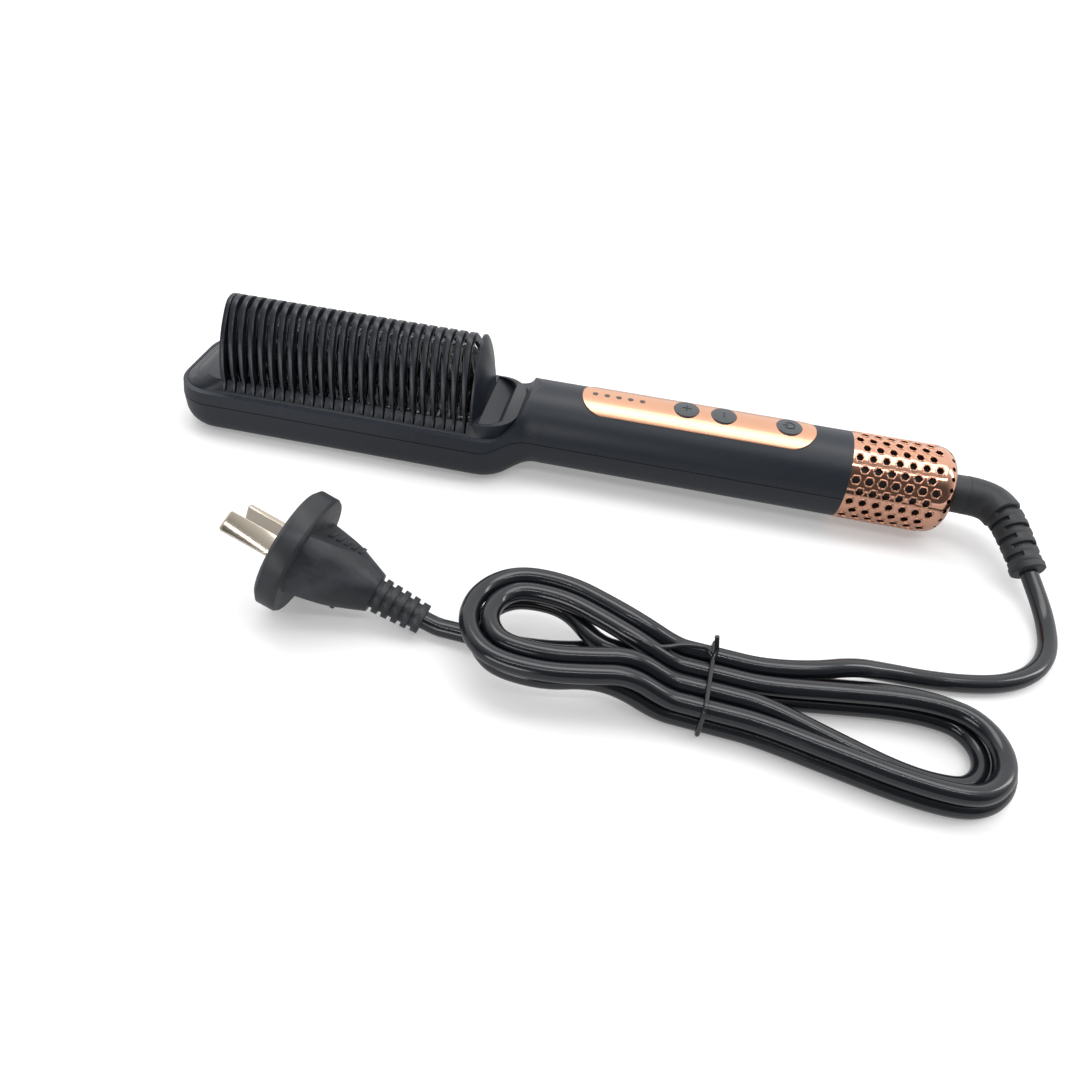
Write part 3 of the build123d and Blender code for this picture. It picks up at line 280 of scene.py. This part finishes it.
def glossy_coating(name, colour):
    """Coated casting: poured-on gloss that pulls in slow waves."""
    finish = Finish(name)
    waves = finish.noise(300.0, 2.0, (0.7, 1.0, 0.5))
    specks = finish.noise(1400.0, 2.0)
    shade = finish.colours(finish.noise(90.0), toned(colour, 0.8), toned(colour, 3.0))
    ripple = finish.bump(waves, 1.0, 2.2 * MM)
    return finish.close(shade, 0.08 + 0.14 * specks, Normal=ripple, IOR=2.3, Coat_Weight=1.0,
                        Coat_Roughness=0.04)


def satin_metal(name, colour, roughness, brush=(0.04, 1.0, 1.0), strength=0.1):
    """Metal with brush lines, which run along the brush where nothing else is given."""
    finish = Finish(name)
    lines = finish.noise(2600.0, 3.0, brush)
    patches = finish.noise(40.0, 3.0)
    shade = finish.colours(patches, toned(colour, 0.94), toned(colour, 1.05))
    rough = roughness - 0.04 + 0.05 * lines + 0.04 * patches
    return finish.close(shade, rough, Metallic=1.0, Normal=finish.bump(lines, strength, 0.02 * MM))


def mirror_plating(name, colour):
    """Bright plating over moulded plastic, with the slight waves of the plastic under it."""
    finish = Finish(name)
    waves = finish.noise(120.0, 1.0)
    haze = finish.noise(300.0, 4.0)
    shade = finish.colours(haze, toned(colour, 0.93), toned(colour, 1.04))
    return finish.close(shade, 0.07 + 0.07 * haze, Metallic=1.0, Normal=finish.bump(waves, 0.12, 0.25 * MM))


def soft_rubber(name, colour, roughness, grain=900.0, strength=0.2):
    """Soft moulding: fine grain, a dull bloom and paler scuffs."""
    finish = Finish(name)
    grit = finish.noise(grain, 3.0)
    bloom = finish.noise(60.0, 4.0)
    body = finish.colours(bloom, toned(colour, 0.85), toned(colour, 1.3))
    scuffs = finish.ramp(finish.noise(150.0, 6.0, (0.35, 1.0, 0.6)), 0.52, 0.75)
    shade = finish.colours(scuffs, body, toned(colour, 2.5, 0.012))
    return finish.close(shade, roughness + 0.12 * bloom, Normal=finish.bump(grit, strength, 0.06 * MM),
                        Sheen_Weight=0.04)


def jacket(name, colour):
    """Extruded cord jacket: smooth gloss with slow dents and a little bloom."""
    finish = Finish(name)
    dents = finish.noise(55.0, 2.0)
    bloom = finish.noise(140.0, 4.0)
    shade = finish.colours(bloom, toned(colour, 0.8), toned(colour, 1.5))
    ripple = finish.bump(dents, 0.3, 0.4 * MM)
    return finish.close(shade, 0.13 + 0.12 * bloom, Normal=ripple, Coat_Weight=0.3, Coat_Roughness=0.1)


def solder_mask(name, colour):
    """Board laminate, with copper that shows as lighter lines under the mask."""
    finish = Finish(name)
    traces = finish.cell_edges(420.0, (0.5, 1.0, 1.0)) < 0.12
    shade = finish.colours(traces, colour, toned(colour, 1.8, 0.01))
    return finish.close(shade, 0.32 + 0.1 * finish.noise(500.0), Normal=finish.bump(traces, 0.3, 0.03 * MM))


def translucent(name, colour, roughness):
    """Milky plastic with a faint cloud in it."""
    finish = Finish(name)
    cloud = finish.noise(800.0, 2.0)
    shade = finish.colours(cloud, toned(colour, 0.85), toned(colour, 1.1))
    return finish.close(shade, roughness + 0.06 * cloud, Subsurface_Weight=0.3, Subsurface_Scale=0.5 * MM)


def finishes():
    """The finish of each material slot, of the twist tie and of the signs."""
    return {
        "housing_plastic": moulded("charcoal housing", (0.014, 0.019, 0.028), 0.42),
        "guard_plastic": moulded("charcoal guard", (0.012, 0.016, 0.023), 0.34, grain=2000.0),
        "comb_coating": glossy_coating("black comb coating", (0.008, 0.008, 0.01)),
        "heater_casing": satin_metal("extruded heater case", (0.75, 0.75, 0.76), 0.35),
        "polyimide_film": moulded("amber film", (0.6, 0.26, 0.03), 0.22, grain=300.0),
        "spring_steel": satin_metal("spring steel", (0.55, 0.55, 0.56), 0.3),
        "shield_sheet": satin_metal("rolled shield sheet", (0.8, 0.8, 0.81), 0.35),
        "sensor_bead": moulded("epoxy bead", (0.1, 0.1, 0.1), 0.35),
        "fuse_casing": satin_metal("drawn fuse case", (0.7, 0.7, 0.7), 0.3),
        "screw_steel": satin_metal("zinc plated screws", (0.5, 0.5, 0.52), 0.32, (1.0, 1.0, 1.0)),
        "panel_finish": satin_metal("satin rose gold panel", (0.79, 0.44, 0.29), 0.25, (0.02, 1.0, 1.0),
                                    0.06),
        "button_plastic": moulded("grey button plastic", (0.075, 0.082, 0.09), 0.45),
        "stem_plastic": moulded("natural stem plastic", (0.6, 0.6, 0.58), 0.45),
        "switch_casing": moulded("switch case", (0.04, 0.04, 0.045), 0.4),
        "diode_casing": translucent("diode case", (0.85, 0.84, 0.78), 0.3),
        "lens_plastic": translucent("smoked lens", (0.09, 0.08, 0.07), 0.15),
        "board_laminate": solder_mask("green solder mask", (0.02, 0.14, 0.06)),
        "chip_epoxy": moulded("chip epoxy", (0.025, 0.025, 0.027), 0.5, grain=3000.0),
        "capacitor_casing": moulded("capacitor case", (0.45, 0.08, 0.03), 0.25),
        "lead_insulation": soft_rubber("silicone lead", (0.7, 0.7, 0.66), 0.4),
        "cage_plating": mirror_plating("mirror rose gold plating", (0.78, 0.43, 0.30)),
        "core_plastic": moulded("black core plastic", (0.022, 0.022, 0.024), 0.45),
        "ring_brass": satin_metal("turned brass ring", (0.72, 0.5, 0.2), 0.22),
        "outlet_rubber": soft_rubber("black outlet rubber", (0.016, 0.018, 0.021), 0.42),
        "cord_jacket": jacket("glossy black cord jacket", (0.008, 0.0095, 0.013)),
        "plug_moulding": soft_rubber("black plug moulding", (0.014, 0.016, 0.020), 0.38, 500.0, 0.35),
        "insert_plastic": moulded("black insert", (0.02, 0.021, 0.024), 0.4),
        "blade_metal": satin_metal("nickel plated blade", (0.56, 0.50, 0.41), 0.13, (1.0, 0.2, 1.0)),
        "tie": jacket("black skin of the tie", (0.012, 0.013, 0.015)),
        "sign": moulded("dark sign paint", (0.006, 0.006, 0.008), 0.35),
    }


# Mesh helpers
def linked(name, data):
    """An object on the data, in the scene."""
    piece = bpy.data.objects.new(name, data)
    bpy.context.scene.collection.objects.link(piece)
    return piece


def shade_smooth(mesh):
    mesh.polygons.foreach_set("use_smooth", [True] * len(mesh.polygons))


def mesh_object(name, points, faces, material, sharp=35.0):
    mesh = bpy.data.meshes.new(name)
    mesh.from_pydata([tuple(p) for p in points], [], faces)
    mesh.validate()
    mesh.materials.append(material)
    shade_smooth(mesh)
    mesh.set_sharp_from_angle(angle=math.radians(sharp))
    return linked(name, mesh)


def made_plain(piece, name):
    """The evaluated shape of a piece as a plain mesh object, in place of the piece."""
    depsgraph = bpy.context.evaluated_depsgraph_get()
    mesh = bpy.data.meshes.new_from_object(piece.evaluated_get(depsgraph))
    bpy.data.objects.remove(piece)
    return linked(name, mesh)


def curve_data(name, bevel, sides):
    """A curve in space, drawn as a closed tube where it has a bevel."""
    curve = bpy.data.curves.new(name, "CURVE")
    curve.dimensions = "3D"
    curve.bevel_depth = bevel
    curve.bevel_resolution = sides
    curve.use_fill_caps = True
    return curve


def spline_object(name, points, steps, bevel=0.0, sides=0):
    """One open NURBS spline on the control points."""
    curve = curve_data(name, bevel, sides)
    curve.resolution_u = steps
    spline = curve.splines.new("NURBS")
    spline.points.add(len(points) - 1)
    for point, place in zip(spline.points, points):
        point.co = (*place, 1.0)
    spline.order_u = 3
    spline.use_endpoint_u = True
    return linked(name, curve)


def metres(route):
    return [Vector(p) * MM for p in route]


def rounded_copy(node, width):
    """A copy of a CAD piece, merged and with its sharp edges rounded, that stands in its place."""
    original = frame["nodes"][node]
    shell = bmesh.new()
    shell.from_mesh(original.data)
    bmesh.ops.remove_doubles(shell, verts=shell.verts, dist=MERGE_WITHIN)
    bmesh.ops.dissolve_limit(shell, angle_limit=FLAT_WITHIN, verts=shell.verts, edges=shell.edges)
    mesh = bpy.data.meshes.new(node + "_rounded")
    shell.to_mesh(mesh)
    shell.free()
    shade_smooth(mesh)
    mesh.materials.append(original.data.materials[0])
    piece = linked(node + "_rounded", mesh)
    edges = piece.modifiers.new("rounding", "BEVEL")
    edges.width = width
    edges.segments = 2
    edges.limit_method = "ANGLE"
    edges.angle_limit = ROUND_FROM
    edges.harden_normals = True
    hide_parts(node)
    return piece


# Cord
def hank_place(x, y, z):
    """A point of the hank's own frame, with the tie at its middle."""
    c, s = math.cos(HANK_TURN), math.sin(HANK_TURN)
    return Vector((WAIST[0] + x * c - y * s, WAIST[1] + x * s + y * c, z))


def left_leg(waist, end):
    """From the tie to a left loop. A low pass climbs sooner, over the one that leaves for the plug."""
    (y0, z0), (y1, z1) = waist, end
    if z0 == LOW_LAYER:
        first, second, third, y_third = -12, -23, -32, y0
    else:
        first, second, third, y_third = -10, -21, -31, (y0 + y1) / 2
    return [(-4 * MM, y0, z0), (first * MM, y0, z0), (second * MM, y0, z1), (third * MM, y_third, z1),
            (-43 * MM, y1, z1)]


def right_leg(waist, end):
    """From the tie to a right loop, in one long bend each way."""
    (y0, z0), (y1, z1) = waist, end
    return [(4 * MM, y0, z0), (15 * MM, y0, z0), (34 * MM, (y0 + y1) / 2, (z0 + z1) / 2), (54 * MM, y1, z1)]


def loop_end(x, y_from, y_to, z, heading):
    """The outside points of a half turn, TURN_STEP degrees apart."""
    middle, radius = (y_from + y_to) / 2, (y_from - y_to) / 2
    reach = radius / math.cos(math.radians(TURN_STEP / 2))
    last = 90 - TURN_STEP // 2
    turn = [math.radians(a) for a in range(last, -last - 1, -TURN_STEP)]
    return [(x + heading * abs(reach) * math.cos(a), middle + reach * math.sin(a), z) for a in turn]


def hank_points():
    """Seven passes through the tie, four over three, joined by three loops at each end."""
    low, high = LOW_LAYER, LOW_LAYER + LAYER_STEP
    highest = high + LAYER_STEP
    near, far = LANE_STEP / 2, LANE_STEP * 1.5
    wide, tight, middle, shift = OUTER_TURN, INNER_TURN, MIDDLE_TURN, TURN_SHIFT
    left = [((far, high), (shift + wide, highest), (shift - wide, highest), (-far, high)),
            ((near, high), (shift + tight, highest), (shift - tight, highest), (-near, high)),
            ((near, low), (middle, high), (-middle, high), (-far, low))]
    right = [((-far, high), (shift - wide, high), (shift + tight, high), (near, high)),
             ((-near, high), (shift - tight, low), (shift + tight, low), (near, low)),
             ((-far, low), (shift - wide, low), (shift + wide, low), (far, low))]
    points = []
    for (a, b, c, d), (e, f, g, h) in zip(left, right):
        points += left_leg(a, b) + loop_end(LEFT_END, b[0], c[0], b[1], -1) + left_leg(d, c)[::-1]
        points += right_leg(e, f) + loop_end(RIGHT_END, f[0], g[0], f[1], 1) + right_leg(h, g)[::-1]
    lead_in = [(28 * MM, 12.95 * MM, high), (14 * MM, far, high), (4 * MM, far, high)]
    lead_out = [(-4 * MM, far, low), (-26 * MM, far, low), (-40 * MM, 3 * MM, low), (-56 * MM, 0.0, low)]
    return [hank_place(*p) for p in lead_in + points + lead_out]


def mains_cord(material):
    points = metres(LEAD_ROUTE) + hank_points() + metres(PLUG_LEAD)
    piece = spline_object("mains_cord", points, steps=10, bevel=CORD_DIAMETER / 2, sides=7)
    piece.data.materials.append(material)
    return piece


# Strain relief
def centreline(route):
    """Points of the route's NURBS spline."""
    plain = made_plain(spline_object("route", metres(route), steps=24), "route_points")
    points = [v.co.copy() for v in plain.data.vertices]
    bpy.data.objects.remove(plain)
    return points


def along(points, distance):
    """The place and heading at a distance along a line of points."""
    for a, b in zip(points, points[1:]):
        step = (b - a).length
        if distance <= step or b is points[-1]:
            return a.lerp(b, min(distance / step, 1.0)), (b - a).normalized()
        distance -= step


def sleeve_stations(length):
    """Distance and outer radius of each ring of points, in millimetres, and its slots: 1, 2 or 0 for none."""
    smooth = SMOOTH_SHARE * length
    stations = [(smooth * t, ROOT_RADIUS - ROOT_TAPER * t, 0) for t in SMOOTH_STEPS]
    stations.append((smooth, NECK_RADIUS, 0))
    pitch = (length - smooth - FLANGE_LENGTH) / RING_COUNT
    for k in range(RING_COUNT):
        start, end = smooth + pitch * k, smooth + pitch * (k + 1)
        gap_end = start + GAP_SHARE * pitch
        outer = RING_RADIUS - RING_TAPER * k
        slots = 1 + k % 2
        stations += [(start + RING_EDGE, outer, slots), (gap_end, outer - RING_DISH, slots),
                     (gap_end + RING_EDGE, outer, 0), (end - CHAMFER_START, outer - RING_DISH, 0),
                     (end - CHAMFER_END, outer - RING_EDGE, 0)]
    return stations + [(length - back, radius, 0) for back, radius in FLANGE_RINGS]


def slot_share(angle, slots):
    """1 in a slot and 0 on the two webs, which sit a quarter turn further on every other ring."""
    if slots == 0:
        return 0.0
    turn = angle if slots == 1 else angle + math.pi / 2
    return 1.0 if abs(math.cos(turn)) < WEB_COSINE else 0.0


def bent_sleeve(material):
    """The strain relief: a smooth tube, then rings with staggered slots between them and an end flange."""
    line = centreline(SLEEVE_ROUTE)
    length = sum((b - a).length for a, b in zip(line, line[1:])) / MM
    count = SLEEVE_SIDES
    points, faces = [], []
    stations = sleeve_stations(length)
    for distance, outer, slots in stations:
        place, heading = along(line, distance * MM)
        side = heading.cross(Vector((0, 0, 1))).normalized()
        up = side.cross(heading)
        core = CORE_RADIUS - CORE_TAPER * distance / length
        for i in range(count):
            angle = 2 * math.pi * i / count
            radius = outer - (outer - core) * slot_share(angle, slots)
            points.append(place + (side * math.cos(angle) + up * math.sin(angle)) * radius * MM)
    for k in range(len(stations) - 1):
        a, b = k * count, (k + 1) * count
        for i in range(count):
            j = (i + 1) % count
            faces.append((a + i, b + i, b + j, a + j))
    last = (len(stations) - 1) * count
    faces.append(tuple(range(count)))
    faces.append(tuple(range(last + count - 1, last - 1, -1)))
    return mesh_object("bent_sleeve", points, faces, material)


# Rims round the cage's holes
def rim_tree():
    """A hexagonal bead round each hole, in rows that stand between each other round the cage."""
    group = bpy.data.node_groups.new("cage rims", "GeometryNodeTree")
    numbers = ("Start", "Radius", "Axis Height", "Pitch", "Hole Radius", "Bead")
    kinds = {**dict.fromkeys(numbers, "Float"), "Rows": "Int", "Finish": "Material"}
    for name, kind in kinds.items():
        group.interface.new_socket(name, in_out="INPUT", socket_type="NodeSocket" + kind)
    group.interface.new_socket("Geometry", in_out="OUTPUT", socket_type="NodeSocketGeometry")
    tree = Tree(group)
    entry = group.nodes.new("NodeGroupInput")
    given = {s.name: Value(tree, s) for s in entry.outputs if s.name}
    index = tree.add("GeometryNodeInputIndex")
    column = index % HOLES_IN_ROW
    row = (index - column) / HOLES_IN_ROW
    odd = row % 2
    angle = row * (2 * math.pi) / given["Rows"]
    x = given["Start"] + given["Pitch"] * (column + 0.5 * odd)
    y = -1.0 * given["Radius"] * angle.maths("SINE", angle)
    z = given["Axis Height"] + given["Radius"] * angle.maths("COSINE", angle)
    where = tree.add("ShaderNodeCombineXYZ", {}, {0: x, 1: y, 2: z})
    dots = tree.add("GeometryNodePoints", {}, {"Count": HOLES_IN_ROW * CAGE_ROWS, "Position": where})
    circle = ("GeometryNodeCurvePrimitiveCircle", {"mode": "RADIUS"})
    ring = tree.add(*circle, {"Resolution": 6, "Radius": given["Hole Radius"]})
    bead = tree.add(*circle, {"Resolution": 8, "Radius": given["Bead"]})
    solid = tree.add("GeometryNodeCurveToMesh", {}, {"Curve": ring, "Profile Curve": bead})
    turn = tree.add("ShaderNodeCombineXYZ", {}, {0: angle, 1: 0.0, 2: 0.0})
    even = odd < 0.5
    keep = even.maths("MAXIMUM", even, column < HOLES_IN_ROW - 1.5)
    spread = tree.add("GeometryNodeInstanceOnPoints", {},
                      {"Points": dots, "Selection": keep, "Instance": solid, "Rotation": turn})
    real = tree.add("GeometryNodeRealizeInstances", {}, {"Geometry": spread})
    smooth = tree.add("GeometryNodeSetShadeSmooth", {}, {"Geometry": real})
    done = tree.add("GeometryNodeSetMaterial", {}, {"Geometry": smooth, "Material": given["Finish"]})
    tree.add("NodeGroupOutput", {}, {0: done})
    return group


def grown(name, group, values):
    """A piece made by a tree of Geometry Nodes, with its named inputs set, as a plain mesh."""
    seed = linked(name + "_seed", bpy.data.meshes.new(name + "_seed"))
    modifier = seed.modifiers.new(name, "NODES")
    modifier.node_group = group
    for item in group.interface.items_tree:
        if item.in_out == "INPUT" and item.name in values:
            modifier[item.identifier] = values[item.name]
    return made_plain(seed, name)


def cage_rims(material):
    """Beads that stand a little proud round the holes, turned as the holes are."""
    values = {"Start": CAGE_X + FIRST_HOLE, "Radius": GRIP_RADIUS - RIM_SINK, "Axis Height": AXIS_Z,
              "Pitch": CAGE_PITCH, "Rows": CAGE_ROWS, "Hole Radius": HOLE_ACROSS / math.sqrt(3) + RIM_OUTSET,
              "Bead": RIM_BEAD, "Finish": material}
    return grown("cage_rims", rim_tree(), values)


# Skin over the comb guard's tip
def tip_skin(material):
    """A thin skin on the guard's slope at the tip, where the pocket under it comes close to the surface."""
    turns = [math.radians(a) for a in range(0, 91, 10)]
    rows = []
    for t in SLOPE_SHARES:
        corner, half, end, height = (foot + change * t for foot, change in zip(SLOPE_FOOT, SLOPE_CHANGE))
        side = [(end + corner - corner * math.cos(a), half - corner + corner * math.sin(a)) for a in turns]
        line = [(x, -y) for x, y in reversed(side)] + side
        rows.append([Vector((x, y, height)) * MM for x, y in line])
    width = len(rows[0])
    faces = [(r * width + i + 1, r * width + i, (r + 1) * width + i, (r + 1) * width + i + 1)
             for r in range(len(rows) - 1) for i in range(width - 1)]
    skin = mesh_object("guard_tip_skin", [p for row in rows for p in row], faces, material, 60.0)
    wall = skin.modifiers.new("wall", "SOLIDIFY")
    wall.thickness = SKIN_WALL
    wall.offset = -1.0
    return skin


# Signs on the buttons
def sign_strokes(kind):
    """Lines of a button's sign, in millimetres from its middle, with x along the brush."""
    across = [(0, -SIGN_REACH), (0, SIGN_REACH)]
    if kind == "minus":
        return [across]
    if kind == "plus":
        return [across, [(-SIGN_REACH, 0), (SIGN_REACH, 0)]]
    arc = [math.radians(a) for a in POWER_ARC]
    ring = [(POWER_RADIUS * math.cos(a), POWER_RADIUS * math.sin(a)) for a in arc]
    return [ring, [(x, 0) for x in POWER_BAR]]


def button_sign(kind, node, material):
    """Raised strokes that follow the button's dome."""
    low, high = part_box(node)
    middle_x, top = (low.x + high.x) / 2, high.z
    curve = curve_data(kind + "_sign", STROKE_RADIUS * MM, 2)
    for stroke in sign_strokes(kind):
        spline = curve.splines.new("POLY")
        spline.points.add(len(stroke) - 1)
        for point, (x, y) in zip(spline.points, stroke):
            fall = DOME_RADIUS - math.sqrt(DOME_RADIUS * DOME_RADIUS - x * x - y * y)
            point.co = (middle_x + x * MM, y * MM, top - fall * MM, 1.0)
    sign = made_plain(linked(kind + "_stroke", curve), kind + "_sign")
    sign.data.materials.append(material)
    return sign


# Studio
def camera():
    data = bpy.data.cameras.new("camera")
    data.sensor_width = SENSOR_WIDTH
    data.lens = LENS
    data.clip_start = 0.01
    piece = linked("camera", data)
    piece.location = CAMERA_PLACE
    piece.rotation_euler = [math.radians(a) for a in CAMERA_TURN]
    bpy.context.scene.camera = piece


def softbox(name, place, target, size, power):
    data = bpy.data.lights.new(name, "AREA")
    data.shape = "RECTANGLE"
    data.size, data.size_y = size
    data.energy = power
    lamp = linked(name, data)
    lamp.location = place
    lamp.rotation_euler = (Vector(target) - Vector(place)).to_track_quat("-Z", "Y").to_euler()


def floor():
    """A floor that keeps the brush's shadow and glows to the camera and in reflections, more further out."""
    finish = Finish("pale floor")
    camera_ray, glossy_ray = finish.add_parts("ShaderNodeLightPath", ("Is Camera Ray", "Is Glossy Ray"))
    paper = finish.colours(finish.noise(3.0), (0.80, 0.80, 0.805), (0.82, 0.82, 0.82))
    shade = finish.colours(camera_ray, (0.32, 0.32, 0.33), paper)
    lit = finish.add("ShaderNodeBsdfDiffuse", {}, {"Color": shade})
    distance = finish.add("ShaderNodeVectorMath", {"operation": "LENGTH"}, {0: finish.place}, "Value")
    glow = (camera_ray + glossy_ray) * finish.ramp(distance, 0.25, 1.0, 0.26, 0.9)
    light = finish.add("ShaderNodeEmission", {}, {"Color": (1, 1, 1, 1), "Strength": glow})
    both = finish.add("ShaderNodeAddShader", {}, {0: lit, 1: light})
    finish.add("ShaderNodeOutputMaterial", {}, {"Surface": both})
    signs = ((-1, -1), (1, -1), (1, 1), (-1, 1))
    corners = [(x * FLOOR_REACH, y * FLOOR_REACH, -FLOOR_DROP) for x, y in signs]
    mesh_object("floor", corners, [(0, 1, 2, 3)], finish.material)


def world():
    """White to the camera; to what reflects, a room pale behind the brush and darker in front of it."""
    scene = bpy.context.scene
    scene.world = bpy.data.worlds.new("room")
    scene.world.use_nodes = True
    scene.world.node_tree.nodes.clear()
    tree = Tree(scene.world.node_tree)
    direction = tree.add("ShaderNodeTexCoord", output="Generated")
    back, up = tree.add_parts("ShaderNodeSeparateXYZ", ("Y", "Z"), {0: direction})
    limits = {"From Min": -0.5, "From Max": 0.8, "To Min": 0.1, "To Max": 1.15}
    room = tree.add("ShaderNodeMapRange", {"interpolation_type": "SMOOTHSTEP"},
                    {"Value": back + 0.35 * up, **limits})
    seen = tree.add("ShaderNodeLightPath", output="Is Camera Ray")
    strength = room * (1 - seen) + seen
    shade = tree.add("ShaderNodeBackground", {}, {"Color": (1.0, 1.0, 1.0, 1.0), "Strength": strength})
    tree.add("ShaderNodeOutputWorld", {}, {"Surface": shade})


def studio():
    camera()
    world()
    floor()
    middle = (0.0, 0.0, 0.0)
    softbox("overhead", (0.03, 0.12, 0.95), middle, (1.2, 0.4), 4.2)
    softbox("strip", (0.1, -0.42, 0.75), middle, (1.0, 0.03), 1.2)
    softbox("low front", (-0.42, -0.95, 0.3), (-0.08, 0.0, 0.03), (0.7, 0.3), 2.6)
    softbox("side", (0.8, 0.1, 0.5), middle, (0.12, 0.5), 1.2)
    bpy.context.scene.view_settings.view_transform = "Standard"


# Assembly
def dress(looks):
    """Give each node of the frame its finish."""
    for part in frame["record"]["subparts"]:
        node = frame["nodes"][part["node"]]
        look = looks["tie" if part["node"] == "twist_tie" else part["material_slot"]]
        node.data.materials.clear()
        node.data.materials.append(look)


def round_edges():
    """Rounded copies, by node, of the pieces whose moulded or cast edges catch the light."""
    rounded = {}
    for node, (width, slot) in ROUNDED.items():
        piece = rounded_copy(node, width)
        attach(piece, "housing")
        rounded[node] = piece
    return rounded


def add_cord(looks, rounded):
    """The strain relief, and the cord from it through the hank to the plug."""
    sleeve = bent_sleeve(looks["outlet_rubber"])
    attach(sleeve, "housing")
    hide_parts("cord_sleeve")
    cord = mains_cord(looks["cord_jacket"])
    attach(cord, "housing")
    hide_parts("cord_lead", "cord_hank", "cord_plug_lead")


def add_details(looks):
    """The guard's skin, the cage's rims and the buttons' signs."""
    skin = tip_skin(looks["guard_plastic"])
    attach(skin, "housing")
    rims = cage_rims(looks["cage_plating"])
    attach(rims, "housing")
    for kind in ("plus", "minus", "power"):
        sign = button_sign(kind, kind + "_button", looks["sign"])
        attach(sign, kind + "_key")


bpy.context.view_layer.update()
studio()
looks = finishes()
dress(looks)
add_cord(looks, round_edges())
add_details(looks)
